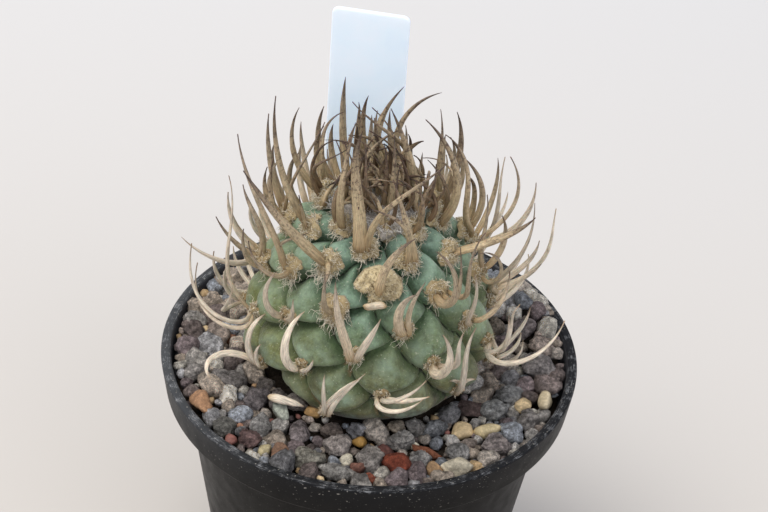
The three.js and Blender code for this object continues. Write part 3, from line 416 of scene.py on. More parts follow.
def crushed_stone():
    """Crushed lava and pumice with a few river pebbles: dull, porous, patchy and speckled with dark pits,
    each stone its own colour. The more a stone is worn by water, the smoother and evener it is."""
    material, tree, shader, place, speckles, patches, pores, worn = begun(
        "crushed_lava_grit", {"IOR": 1.5, "Specular IOR Level": 0.25},
        ((1.5, 8, 0.78), (0.4, 3, 0.55), (1.7, 6, 0.8)), ("water_worn",))
    own = node(tree, "Attribute", {}, "Color", attribute_name="stone_colour")
    speckle = node(tree, "ValToRGB", {"Fac": speckles}, stops=[(0.36, 0.34), (0.5, 1.05), (0.63, 2.2)])
    patch = node(tree, "ValToRGB", {"Fac": patches}, stops=[(0.35, 0.65), (0.65, 1.35)])
    faces = []
    for speckled, patched in ((1.0, 1.0), (0.35, 0.6)):
        face = own
        for share, over in ((speckled, speckle), (patched, patch)):
            face = node(tree, "Mix", {SHARE: share, UNDER: face, OVER: over}, MIXED, data_type="RGBA",
                        blend_type="MULTIPLY")
        faces.append(face)
    pits = node(tree, "TexVoronoi", {"Vector": place, "Scale": 1.3 / MM, "Randomness": 1.0}, "Distance")
    porous = node(tree, "Math", {0: pits, 1: 0.35, 2: pores}, operation="MULTIPLY_ADD")
    level = node(tree, "Mix", {0: worn, 2: porous, 3: 0.5}, data_type="FLOAT")
    fill(tree, shader, {
        "Base Color": node(tree, "Mix", {SHARE: worn, UNDER: faces[0], OVER: faces[1]}, MIXED,
                           data_type="RGBA"),
        "Roughness": node(tree, "ValToRGB", {"Fac": worn}, stops=[(0.0, 0.95), (1.0, 0.5)]),
        "Normal": node(tree, "Bump", {"Height": level, "Strength": 1.0, "Distance": 1.7 * MM}),
    })
    return material


def potting_mix():
    """Damp mineral potting mix: fine, dark and crumbly."""
    material, tree, shader, _, crumbs = begun(
        "damp_potting_mix", {"Roughness": 0.95, "Specular IOR Level": 0.2}, ((1.4, 6, 0.75),))
    stops = [(0.3, "#221d19"), (0.55, "#40372f"), (0.75, "#6a5f53")]
    fill(tree, shader, {
        "Base Color": node(tree, "ValToRGB", {"Fac": crumbs}, stops=stops),
        "Normal": node(tree, "Bump", {"Height": crumbs, "Strength": 1.0, "Distance": 0.6 * MM}),
    })
    return material


def label_plastic():
    """Polystyrene sheet, punched out: a cold white with a satin skin, faint cloudy scuffs and fine scratches.
    Light goes into it, and it glows a faint blue of its own, painted light that brightens it in the place of
    the brightener in it."""
    material, tree, shader, place, cloud = begun("white_polystyrene_sheet", {
        "IOR": 1.59, "Specular IOR Level": 0.45, "Subsurface Weight": 0.7, "Subsurface Scale": 2.5 * MM,
        # Painted light: a faint blue glow that brightens the label, though it is no lamp.
        "Subsurface Radius": (1.0, 1.0, 1.0), "Emission Strength": 0.19, "Emission Color": linear("#b4d6ff"),
    }, ((0.12, 4, 0.55),))
    upright = node(tree, "Mapping", {"Vector": place, "Scale": (2.5, 2.5, 0.2)})
    scratch = node(tree, "TexNoise", {"Vector": upright, "Scale": 1 / MM, "Detail": 4, "Roughness": 0.7})
    fill(tree, shader, {
        "Base Color": node(tree, "ValToRGB", {"Fac": cloud}, stops=[(0.3, "#dcecfc"), (0.7, "#e8f4ff")]),
        "Roughness": node(tree, "ValToRGB", {"Fac": scratch}, stops=[(0.35, 0.35), (0.7, 0.55)]),
        "Normal": node(tree, "Bump", {"Height": scratch, "Strength": 0.15, "Distance": 0.03 * MM}),
    })
    return material


# Meshes

def grid_faces(rows, columns):
    """Quads between neighbours on a grid numbered row by row, whose last column joins its first."""
    row = np.arange(rows - 1)[:, None] * columns
    column = np.arange(columns)[None, :]
    after = (column + 1) % columns
    quads = [row + column, row + after, row + columns + after, row + columns + column]
    return np.stack(np.broadcast_arrays(*quads), -1).reshape(-1, 4)


def fan_faces(centre, ring):
    """Triangles from one point to each side of a closed ring of points."""
    return np.stack([np.full(len(ring), centre), ring, np.roll(ring, -1)], -1)


def barrel_faces(rows, columns):
    """A closed grid whose first and last rows are closed by the two points that follow the grid's points."""
    count = rows * columns
    first = np.arange(columns)
    return [grid_faces(rows, columns), fan_faces(count, first[::-1]),
            fan_faces(count + 1, first + count - columns)]


def repeated(faces, copies, stride):
    """The same faces for each of several copies whose points follow one another."""
    offsets = np.arange(copies)[:, None, None] * stride
    return [(quads[None] + offsets).reshape(-1, quads.shape[1]) for quads in faces]


def surface(points, faces, material=0, smooth=True, uv=None, **values):
    """A closed surface with its faces turned outwards: where the volume that they enclose comes out
    negative, every face is turned round. Values are one number or colour for each point."""
    points = np.asarray(points, float).reshape(-1, 3)
    volume = 0.0
    for corners in faces:
        a, b, c = (points[corners[:, k]] for k in range(3))
        volume += np.einsum("ij,ij->", a, np.cross(b, c))
        if corners.shape[1] == 4:
            volume += np.einsum("ij,ij->", a, np.cross(c, points[corners[:, 3]]))
    if volume < 0:
        faces = [corners[:, ::-1] for corners in faces]
    return {"points": points, "faces": faces, "material": material, "smooth": smooth, "uv": uv,
            "values": values}


def piece(name, surfaces, materials, replaces=()):
    """Joins surfaces in one mesh, in metres, with their values and flat places on it, gives it its materials,
    parents it to the root body, and hides the solids that it stands for."""
    counts = [len(part["points"]) for part in surfaces]
    firsts = np.concatenate([[0], np.cumsum(counts)[:-1]])
    corners, sizes, owners, smooths = [], [], [], []
    for part, first in zip(surfaces, firsts):
        for faces in part["faces"]:
            corners.append((faces + first).ravel())
            sizes.append(np.full(len(faces), faces.shape[1]))
            owners.append(np.full(len(faces), part["material"]))
            smooths.append(np.full(len(faces), part["smooth"]))
    corners, sizes, owners, smooths = map(np.concatenate, (corners, sizes, owners, smooths))
    mesh = bpy.data.meshes.new(name)
    mesh.vertices.add(sum(counts))
    mesh.vertices.foreach_set("co", np.concatenate([part["points"] for part in surfaces]).ravel() * MM)
    mesh.loops.add(len(corners))
    mesh.loops.foreach_set("vertex_index", corners.astype(np.int32))
    mesh.polygons.add(len(sizes))
    mesh.polygons.foreach_set("loop_start", np.concatenate([[0], np.cumsum(sizes)[:-1]]).astype(np.int32))
    mesh.polygons.foreach_set("material_index", owners.astype(np.int32))
    mesh.polygons.foreach_set("use_smooth", smooths.astype(bool))
    for key in sorted({key for part in surfaces for key in part["values"]}):
        is_colour = key.endswith("colour")
        columns = [np.broadcast_to(part["values"].get(key, [0, 0, 0, 1] if is_colour else 0.0),
                                   (count, 4) if is_colour else (count,))
                   for part, count in zip(surfaces, counts)]
        attribute = mesh.attributes.new(key, "FLOAT_COLOR" if is_colour else "FLOAT", "POINT")
        attribute.data.foreach_set("color" if is_colour else "value",
                                   np.concatenate(columns).astype(np.float32).ravel())
    if any(part["uv"] is not None for part in surfaces):
        flat = np.concatenate([np.zeros((count, 2)) if part["uv"] is None else part["uv"].reshape(-1, 2)
                               for part, count in zip(surfaces, counts)])
        layer = mesh.uv_layers.new(name="UVMap")
        layer.data.foreach_set("uv", flat[corners].astype(np.float32).ravel())
    mesh.update(calc_edges=True)
    mesh.validate()
    for material in materials:
        mesh.materials.append(material)
    made = bpy.data.objects.new(name, mesh)
    bpy.context.scene.collection.objects.link(made)
    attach(made, "root")
    if replaces:
        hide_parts(*replaces)
    return made


def unit(vectors):
    """Directions: vectors over their lengths."""
    return vectors / np.linalg.norm(vectors, axis=-1, keepdims=True)


def dot(a, b):
    """The sum of the products of two vectors' parts, kept as a column."""
    return np.sum(a * b, axis=-1, keepdims=True)


# The plant's plan, the same as the solids'

def draws(seed):
    """A seeded run of draws between two values."""
    state = seed

    def draw(low, high):
        nonlocal state
        state = (state * 1664525 + 1013904223) % 4294967296
        return low + (high - low) * state / 4294967296
    return draw


def stem_profile():
    """The side view of the creases from the growing point to the root's tip: a superellipse above the
    centre, half an ellipse below it, then a tapering root."""
    degrees = np.arange(0, 150.25, 0.5)
    polar = np.radians(degrees)
    upper = degrees <= 90
    power = np.where(upper, STEM_SQUARENESS, 2)
    across = np.abs(np.sin(polar)) / STEM_RADIUS
    along = np.abs(np.cos(polar)) / np.where(upper, STEM_TOP, STEM_UNDERSIDE)
    reach = (across ** power + along ** power) ** (-1 / power)
    radius = reach * np.sin(polar)
    z = STEM_CENTRE_Z + reach * np.cos(polar)
    keep = upper | (radius >= ROOT_RADIUS)
    radius, z = radius[keep], z[keep]
    part = np.arange(1, 11) / 10
    root_radius = radius[-1] + (ROOT_TIP_RADIUS - radius[-1]) * part
    root_z = z[-1] - ROOT_LENGTH * part ** 0.8
    last_z = z[-1] - ROOT_LENGTH - ROOT_TIP_RADIUS / 2
    return np.concatenate([radius, root_radius, [0]]), np.concatenate([z, root_z, [last_z]])


PROFILE_RADIUS, PROFILE_Z = stem_profile()
PROFILE_ARC = np.concatenate([[0], np.cumsum(np.hypot(np.diff(PROFILE_RADIUS), np.diff(PROFILE_Z)))])
PROFILE_END = PROFILE_ARC[-1]


def profile_directions():
    """The direction out of the profile: its run from the point before to the point after, turned square."""
    before = np.maximum(np.arange(len(PROFILE_ARC)) - 1, 0)
    after = np.minimum(np.arange(len(PROFILE_ARC)) + 1, len(PROFILE_ARC) - 1)
    run = np.stack([PROFILE_RADIUS[after] - PROFILE_RADIUS[before], PROFILE_Z[after] - PROFILE_Z[before]])
    run = run / np.hypot(*run)
    return -run[1], run[0]


PROFILE_OUT, PROFILE_RISE = profile_directions()


def profile_at(arc):
    """Radius, height and outward direction at a distance along the profile."""
    return [np.interp(arc, PROFILE_ARC, values)
            for values in (PROFILE_RADIUS, PROFILE_Z, PROFILE_OUT, PROFILE_RISE)]


def skin_point(arc, azimuth, lift):
    """A point of the skin, at an arc from the growing point and an azimuth, lifted off the creases."""
    radius, z, out, rise = profile_at(arc)
    reach = radius + lift * out
    angle = np.radians(azimuth)
    return np.stack(np.broadcast_arrays(
        STEM_X + reach * np.sin(angle), -reach * np.cos(angle), z + lift * rise), -1)


def headings_at(azimuth):
    """The level directions outwards from the plant's axis at an azimuth, and to the right of that."""
    angle = np.radians(azimuth)
    sine, cosine, none = np.sin(angle), np.cos(angle), np.zeros(np.shape(angle))
    return np.stack([sine, -cosine, none], -1), np.stack([cosine, sine, none], -1)


def arc_of(index):
    """A tubercle's distance down the profile: the spacing grows evenly with its number."""
    return FIRST_SPACING * index + SPACING_GROWTH * index * index


def index_of(arc):
    """The number whose arc this is: the root of the rule above."""
    return (-FIRST_SPACING + np.sqrt(FIRST_SPACING ** 2 + 4 * SPACING_GROWTH * arc)) / (2 * SPACING_GROWTH)


def azimuth_of(index):
    """How far round a tubercle stands, counted from the one in the middle of the front."""
    return FRONT_AZIMUTH + (index - FRONT_TUBERCLE) * DIVERGENCE


def relief_at(index):
    """How high a tubercle stands: it grows out of the growing point and fades into the root."""
    risen = np.clip(index / FULL_RELIEF_FROM, 0, 1)
    faded = np.clip((LAST_TUBERCLE - index) / (LAST_TUBERCLE - FULL_RELIEF_TO), 0, 1)
    return TUBERCLE_HEIGHT * risen * faded


def swelling(along_flat, along_steep):
    """A tubercle's height from 1 near its areole to 0 in its creases. Along each spiral it falls as a
    power of the distance from the middle, sooner below, where the chin is, and the lower rules softly."""
    falls = []
    for steps in (along_flat, along_steep):
        off = steps + CHIN
        off = 2 * (off - np.round(off))
        falls.append(1 - np.where(off > 0, np.abs(off) ** CHIN_FULLNESS, np.abs(off) ** BROW_FULLNESS))
    first, second = (np.clip(fall, 1e-3, 1) for fall in falls)
    return np.clip((first ** -3 + second ** -3 - 1) ** (-1 / 3), 0, 1)


def relief_beside(index, sideways, upwards):
    """The skin's height over the creases near an areole, at an offset to its side and up from it."""
    turned = np.degrees(sideways / profile_at(arc_of(index))[0])
    passed = -upwards / (FIRST_SPACING + 2 * SPACING_GROWTH * index)
    cross = FLAT_TURN * STEEP_STEP - STEEP_TURN * FLAT_STEP
    along_flat = (turned * STEEP_STEP - passed * STEEP_TURN) / cross
    along_steep = (passed * FLAT_TURN - turned * FLAT_STEP) / cross
    return lift_over(index + passed, swelling(along_flat, along_steep))


def lift_over(index, swollen):
    """The skin's height over the solids' creases, where its swelling is known."""
    relief = relief_at(index)
    return relief * swollen - CREASE_DEPTH * relief / TUBERCLE_HEIGHT * (1 - swollen)


def areole(index):
    """An areole's foot, the direction out of the skin, up along it, and to its right."""
    _, _, out, rise = profile_at(arc_of(index))
    level, side = headings_at(azimuth_of(index))
    normal = level * out + np.array([0, 0, rise])
    up = np.array([0, 0, out]) - level * rise
    return skin_point(arc_of(index), azimuth_of(index), relief_at(index)), normal, up, side


AREOLES = [areole(index) for index in range(LAST_AREOLE + 1)]


def wool_size(index):
    """Width, height and thickness of an areole's wool: older areoles have lost most of it."""
    wide, high = ODD_WOOL.get(index, [1, 1])
    age = np.clip((index - FULL_WOOL_TO) / (WORN_WOOL_FROM - FULL_WOOL_TO), 0, 1)
    radius = WOOL_RADIUS * (1 - 0.4 * age)
    return radius * wide, radius * high, 1.3 - 0.35 * age


def spine_path(spine, steps=SPINE_STEPS):
    """Points along a spine: its heading swings evenly from the root's turn and rise to the tip's."""
    foot, normal, up, side = AREOLES[spine["index"]]
    turn0, rise0, turn1, rise1, length, _ = spine["shape"]
    across, along, thick = wool_size(spine["index"])
    start = (foot + normal * SPINE_FOOT_LIFT * thick - up * SPINE_FOOT_DROP * along
             + side * SPINE_FOOT_SPREAD * across * spine["rank"])
    part = (np.arange(steps) + 0.5) / steps
    turn = np.radians(azimuth_of(spine["index"]) + spine["twist"] + turn0 + (turn1 - turn0) * part)
    rise = np.radians(rise0 + (rise1 - rise0) * part)
    heading = np.stack([np.cos(rise) * np.sin(turn), -np.cos(rise) * np.cos(turn), np.sin(rise)], -1)
    heading = unit(heading + normal * spine["lean"])
    steps_out = heading * length * spine["shrink"] / steps
    return np.concatenate([[start], start + np.cumsum(steps_out, 0)])


def rule_spine(index, rank, draw):
    """A spine by the rule, for the sides that the front view doesn't show."""
    if index < CROWN_AREOLES:
        return [draw(-60, 60), draw(45, 80), draw(-60, 60), draw(110, 165), draw(8, 13), draw(0.7, 1)]
    age = np.clip((index - 24) / 40, 0, 1)
    side = 42 * rank + draw(-18, 18)
    rise = 55 - 45 * age + draw(-12, 15)
    length = (13.5 - 5 * age) * draw(0.75, 1.25)
    return [side, rise, side * 0.3 + draw(-40, 40), rise + draw(45, 85), length, 1.2 - 0.3 * age]


def all_spines():
    """Every spine, those seen from the front first, each with its rank across its areole."""
    draw = draws(4242)
    spines = []
    for index in range(1, LAST_AREOLE + 1):
        shapes = list(SEEN_SPINES.get(index, []))
        seen = len(shapes)
        azimuth = (azimuth_of(index) + 180) % 360 - 180
        wanted = SPINES_OUT_OF_SIGHT if abs(azimuth) > OUT_OF_SIGHT_AZIMUTH else 1
        count = max(seen, CROWN_SPINES if index < CROWN_AREOLES else wanted)
        while len(shapes) < count:
            shapes.append(rule_spine(index, len(shapes) - (count - 1) / 2, draw))
        order = sorted(range(count), key=lambda k: shapes[k][0])
        for k, shape in enumerate(shapes):
            spines.append({"index": index, "shape": shape, "rank": order.index(k) - (count - 1) / 2,
                           "seen": k < seen, "lean": 0, "twist": 0, "shrink": 1})
    return [spine for spine in spines if spine["seen"]] + [spine for spine in spines if not spine["seen"]]


def ground_z(x, y):
    """The ground under the stones: a shallow mound round the plant, and a heap behind it."""
    mound = MOUND_HEIGHT * np.maximum(0, 1 - (x * x + y * y) / (MOUND_RADIUS * MOUND_RADIUS))
    off = np.hypot(x - HEAP_X, y - HEAP_Y) / HEAP_SPREAD
    return POT_HEIGHT - GRAVEL_DEPTH + mound + HEAP_HEIGHT * np.exp(-off * off / 2)


def off_skin(points):
    """How far points are from the creases, measured from the centre of the globe."""
    across = np.hypot(points[..., 0] - STEM_X, points[..., 1])
    along = points[..., 2] - STEM_CENTRE_Z
    power = np.where(along >= 0, STEM_SQUARENESS, 2)
    height = np.where(along >= 0, STEM_TOP, STEM_UNDERSIDE)
    scale = ((across / STEM_RADIUS) ** power + (np.abs(along) / height) ** power) ** (1 / power)
    return np.hypot(across, along) * (1 - 1 / scale)


def off_label(points):
    """How far points are from the label's flat sides, or from its edges."""
    turn = math.radians(LABEL_TURN)
    dx, dy = points[..., 0] - LABEL_X, points[..., 1] - LABEL_Y
    across = np.abs(dx * math.cos(turn) + dy * math.sin(turn)) - LABEL_WIDTH / 2
    through = np.abs(-dx * math.sin(turn) + dy * math.cos(turn)) - LABEL_THICKNESS / 2
    return np.maximum(across, through)


WOOL_FEET = np.array([AREOLES[index][0] for index in range(1, LAST_AREOLE + 1)])
WOOL_REACH = np.array([1.15 * sum(wool_size(index)) / 3 for index in range(1, LAST_AREOLE + 1)])
WOOL_NODE = np.array([max(index, CROWN_AREOLES - 1) for index in range(1, LAST_AREOLE + 1)])


def is_clear(path, spine, placed):
    """True where a spine is clear of the plant, the ground, the pot, the label, the wool and other spines."""
    width = spine["shape"][5]
    half = 0.5 * width * (1 - SPINE_TAPER * np.arange(SPINE_STEPS + 1) / SPINE_STEPS)
    reach = np.hypot(path[:, 0], path[:, 1])
    low = path[:, 2] < ground_z(path[:, 0], path[:, 1]) + 2 * GAP + half
    over_rim = (reach > RIM_INNER_RADIUS - 1.5) & (path[:, 2] < POT_HEIGHT + GAP + half)
    if (off_skin(path) < TUBERCLE_HEIGHT + GAP + half)[3:].any() or low[1:].any() or over_rim.any():
        return False
    if (off_label(path) < 2 * GAP + half).any() or (reach > RIM_RADIUS - 0.5).any():
        return False
    others = WOOL_NODE != max(spine["index"], CROWN_AREOLES - 1)
    away = np.linalg.norm(path[:, None] - WOOL_FEET[None, others], axis=-1)
    if (away < WOOL_REACH[others] + GAP + half[:, None]).any():
        return False
    rest = [other for other in placed if other["index"] != spine["index"]]
    if not rest:
        return True
    points, halves = between_steps(path, width)
    other_points = np.stack([other["fine"] for other in rest])
    other_halves = np.stack([other["halves"] for other in rest])
    away = np.linalg.norm(points[None, :, None] - other_points[:, None], axis=-1)
    return not (away < halves[None, :, None] + other_halves[:, None] + GAP).any()


def between_steps(path, width):
    """A spine's points with one more between each two, and its half width there."""
    middles = (path[:-1] + path[1:]) / 2
    points = np.stack([path[:-1], middles], 1).reshape(-1, 3)
    return points, 0.5 * width * (1 - SPINE_TAPER * np.arange(len(points)) / len(points))


def cleared_spines():
    """Each spine in turn is bent a little further until it is clear of what is already there: leant out
    more, then turned to either side, then shortened. One that finds no room is left out."""
    placed = []
    for spine in all_spines():
        tries = ((shrink, 0.16 * lean, twist) for shrink in (1, 0.85, 0.7) for lean in range(11)
                 for twist in (0, 6, -6, 12, -12, 20, -20, 30, -30))
        for shrink, lean, twist in tries:
            bent = dict(spine, lean=lean, twist=twist, shrink=shrink)
            path = spine_path(bent)
            if is_clear(path, bent, placed):
                bent["fine"], bent["halves"] = between_steps(path, spine["shape"][5])
                placed.append(bent)
                break
    return placed


SPINES = cleared_spines()


# Pot

def rounded(outline, radius):
    """A closed outline with each corner cut back and swept by a parabola between the two cuts."""
    points = np.array(outline, float)
    before, after = np.roll(points, 1, 0), np.roll(points, -1, 0)
    reach = np.minimum(radius, 0.45 * np.minimum(np.linalg.norm(points - before, axis=1),
                                                 np.linalg.norm(points - after, axis=1)))[:, None]
    start = points + unit(before - points) * reach
    end = points + unit(after - points) * reach
    part = np.linspace(0, 1, 5)[:, None, None]
    swept = (1 - part) ** 2 * start + 2 * part * (1 - part) * points + part ** 2 * end
    return swept.transpose(1, 0, 2).reshape(-1, 2)


def turned(outline, sides):
    """A closed outline of radius and height carried round the pot's axis."""
    angle = 2 * np.pi * np.arange(sides) / sides
    radius, z = outline[:, 0], outline[:, 1]
    return np.stack([radius[:, None] * np.sin(angle), -radius[:, None] * np.cos(angle),
                     np.broadcast_to(z[:, None], (len(z), sides))], -1)


def make_pot(material):
    """The pot's section, from the middle of its underside up the outside, over the rim and down the inside,
    carried round its axis, with the drainage holes cut through the floor."""
    shoulder_z = POT_HEIGHT - COLLAR_HEIGHT
    inner_shoulder_z = shoulder_z + POT_WALL
    edge_radius, sides = 0.55, 160
    wall = rounded([
        (FOOT_RADIUS, 0), (SHOULDER_RADIUS, shoulder_z), (COLLAR_FOOT_RADIUS, shoulder_z),
        (RIM_RADIUS, POT_HEIGHT), (RIM_INNER_RADIUS, POT_HEIGHT),
        (COLLAR_FOOT_RADIUS - POT_WALL, inner_shoulder_z), (SHOULDER_RADIUS - POT_WALL, inner_shoulder_z),
        (FOOT_RADIUS - POT_WALL, FLOOR_THICKNESS),
    ], edge_radius)
    rows = len(wall)
    ends = [[0, 0, FLOOR_THICKNESS], [0, 0, 0]]
    faces = [grid_faces(rows, sides), fan_faces(rows * sides, np.arange(sides) + (rows - 1) * sides),
             fan_faces(rows * sides + 1, np.arange(sides)[::-1])]
    z = wall[:, 1]
    edge = np.clip((z - (POT_HEIGHT - 1.6)) / 1.4, 0, 1) + 0.6 * np.exp(-np.abs(z - shoulder_z) / 0.4)
    edge = np.append(np.repeat(np.clip(edge, 0, 1), sides), [0, 0])
    inside = (wall[:, 0] < RIM_INNER_RADIUS + 0.1) & (z > inner_shoulder_z)
    inside = np.append(np.repeat(inside, sides), [0, 0])
    climbed = np.concatenate([[0], np.cumsum(np.hypot(*np.diff(wall, axis=0).T))])
    carried = RIM_RADIUS * 2 * np.pi * np.abs(np.arange(sides) / sides - 0.5)
    uv = np.stack(np.broadcast_arrays(carried[None, :], climbed[:, None]), -1).reshape(-1, 2)
    points = np.concatenate([turned(wall, sides).reshape(-1, 3), ends])
    shell = surface(points, faces, uv=np.concatenate([uv, [[0, 0], [0, 0]]]), edge=edge, inside=inside)
    cut_holes(piece("pot_shell", [shell], [material], ["pot"]))


def cut_holes(pot):
    """Cuts a ring of round holes down through the pot's floor, and keeps the cut mesh."""
    sides, low, high = 24, -2.0, 4.0
    angle = 2 * np.pi * np.arange(sides) / sides
    ring = np.stack([HOLE_RADIUS * np.cos(angle), HOLE_RADIUS * np.sin(angle)], -1)
    plugs = []
    for k in range(HOLE_COUNT):
        turn = 2 * np.pi * k / HOLE_COUNT
        middle = [HOLE_CIRCLE * math.cos(turn), HOLE_CIRCLE * math.sin(turn)]
        points = [np.column_stack([ring + middle, np.full(sides, z)]) for z in (low, high)]
        plugs.append(surface(np.concatenate([*points, [[*middle, low], [*middle, high]]]),
                             barrel_faces(2, sides)))
    cutter = piece("hole_cutter", plugs, [])
    cut = pot.modifiers.new("holes", "BOOLEAN")
    cut.operation = "DIFFERENCE"
    cut.solver = "EXACT"
    cut.object = cutter
    bpy.context.view_layer.update()
    mesh = bpy.data.meshes.new_from_object(pot.evaluated_get(bpy.context.evaluated_depsgraph_get()))
    pot.modifiers.clear()
    uncut = pot.data
    pot.data = mesh
    bpy.data.meshes.remove(uncut)
    mesh.name = pot.name
    bpy.data.objects.remove(cutter)


# Stem

def hollow_under(index, azimuth):
    """How deep the plant's foot has shrunk at the front left, between the last areoles and the root: the
    depth fades in and out over a few degrees and a few tubercles."""
    depth, left, right, top, bottom = 1.7, -78, -28, 60.5, 76
    around = (azimuth + 180) % 360 - 180
    sideways = np.clip((around - left) / 12, 0, 1) * np.clip((right - around) / 12, 0, 1)
    downwards = np.clip((index - top) / 4, 0, 1) * np.clip((bottom - index) / 4, 0, 1)
    return depth * sideways * downwards


def make_stem(material):
    """The skin as a net along both spirals, so that the creases fall on the net's lines. A tubercle stands
    at each whole step along either spiral, with its creases swayed a little by slow waves, and past both
    ends the net closes to a point. Quads that meet an end are split in triangles there."""
    columns = STEEP_STEP * FACETS
    last = LAST_TUBERCLE + ROOT_STEPS
    root_arc = (PROFILE_END - arc_of(LAST_TUBERCLE)) / ROOT_STEPS
    low_row = -FLAT_STEP * FACETS - 1
    row = np.arange(low_row, last * FACETS // STEEP_STEP + FLAT_STEP * FACETS + 3)[None, :]
    column = np.arange(columns)[:, None]
    index = (FLAT_STEP * column + STEEP_STEP * row) / FACETS
    inside = (index > 0) & (index < last)
    numbers = np.where(index <= 0, 0, 1)
    numbers[inside] = 2 + np.arange(inside.sum())
    lowest = index[inside]
    arc = np.where(lowest <= LAST_TUBERCLE, arc_of(lowest),
                   arc_of(LAST_TUBERCLE) + (lowest - LAST_TUBERCLE) * root_arc)
    azimuth = (azimuth_of(0) + (column * FLAT_TURN + row * STEEP_TURN) / FACETS)[inside]
    angle = np.radians(azimuth)
    sway = 0.045 * (np.sin(5 * angle + 0.8 * arc + 1) + np.sin(-8 * angle + 0.5 * arc + 2.2))
    swing = 0.045 * (np.sin(6 * angle - 0.7 * arc + 4) + np.sin(-3 * angle + 1.1 * arc + 0.3))
    along_flat = np.broadcast_to(column / FACETS, index.shape)[inside] + sway
    along_steep = np.broadcast_to(row / FACETS, index.shape)[inside] + swing
    swollen = swelling(along_flat, along_steep)
    drawn_up = OVERHANG * relief_at(lowest) / TUBERCLE_HEIGHT * (1 - swollen)
    shrunken = 1 - 0.7 * np.clip((lowest - 65.5) / 2, 0, 1)
    points = skin_point(np.maximum(arc - drawn_up, 0), azimuth,
                        lift_over(lowest, swollen) * shrunken - hollow_under(lowest, azimuth))
    ends = [skin_point(0.0, 0.0, 0.0), skin_point(PROFILE_END, 0.0, 0.0)]

    shift = FLAT_STEP * FACETS
    after = np.concatenate([numbers[1:], np.roll(numbers[:1], -shift, 1)])
    after[-1, -shift:] = 1
    here, beside = numbers[:, :-1].ravel(), after[:, :-1].ravel()
    below, across = numbers[:, 1:].ravel(), after[:, 1:].ravel()
    quads = np.stack([here, beside, across, below], -1)
    whole = (quads > 1).all(1)
    halves = np.concatenate([quads[~whole][:, [0, 1, 2]], quads[~whole][:, [0, 2, 3]]])
    halves = halves[(halves != np.roll(halves, -1, 1)).all(1)]
    crease = np.concatenate([[0.6, 1.0], 1 - swollen])
    age = np.concatenate([[0.0, 1.0], np.clip(lowest / LAST_TUBERCLE, 0, 1)])
    body = surface(np.concatenate([ends, points]), [quads[whole], halves], crease=crease, age=age)
    piece("stem_skin", [body], [material], ["stem"])


# Wool and spines

# The places of their materials in a piece's list
WOOL, SPINE, GREY_WOOL = range(3)


def strands(roots, headings, lengths, radius, wander, rng, shade, sag=0.1, stations=5, material=WOOL):
    """Crimped hairs: each walks from its root, its heading turned a little at random at every step and
    drawn down by the sag, as a three-sided tube that thins towards its tip."""
    count = len(roots)
    path = [roots]
    heading = unit(headings)
    for _ in range(stations - 1):
        path.append(path[-1] + heading * (lengths / (stations - 1))[:, None])
        heading = unit(heading + rng.normal(0, wander, (count, 3)) - [0, 0, sag])
    path = np.stack(path, 1)
    run = unit(np.gradient(path, axis=1))
    side = unit(np.cross(run, rng.normal(size=(count, 1, 3))))
    up = np.cross(run, side)
    thin = radius * (1 - 0.65 * np.linspace(0, 1, stations))
    angle = 2 * np.pi * np.arange(3) / 3
    ring = (side[:, :, None] * np.cos(angle)[:, None] + up[:, :, None] * np.sin(angle)[:, None])
    points = path[:, :, None] + ring * thin[None, :, None, None]
    tips = np.stack([path[:, 0] - run[:, 0] * radius, path[:, -1] + run[:, -1] * radius], 1)
    points = np.concatenate([points.reshape(count, -1, 3), tips], 1)
    faces = repeated(barrel_faces(stations, 3), count, points.shape[1])
    return surface(points, faces, material, shade=np.repeat(shade, points.shape[1]))


def lumps(sideways, upwards, seed):
    """A soft lumpy relief from -1 to 1: a few waves across each other."""
    return (np.sin(2.3 * sideways + seed) * np.sin(2.7 * upwards + 1.7 * seed)
            + 0.6 * np.sin(4.9 * sideways - 2.1 * upwards + 0.6 * seed)) / 1.6


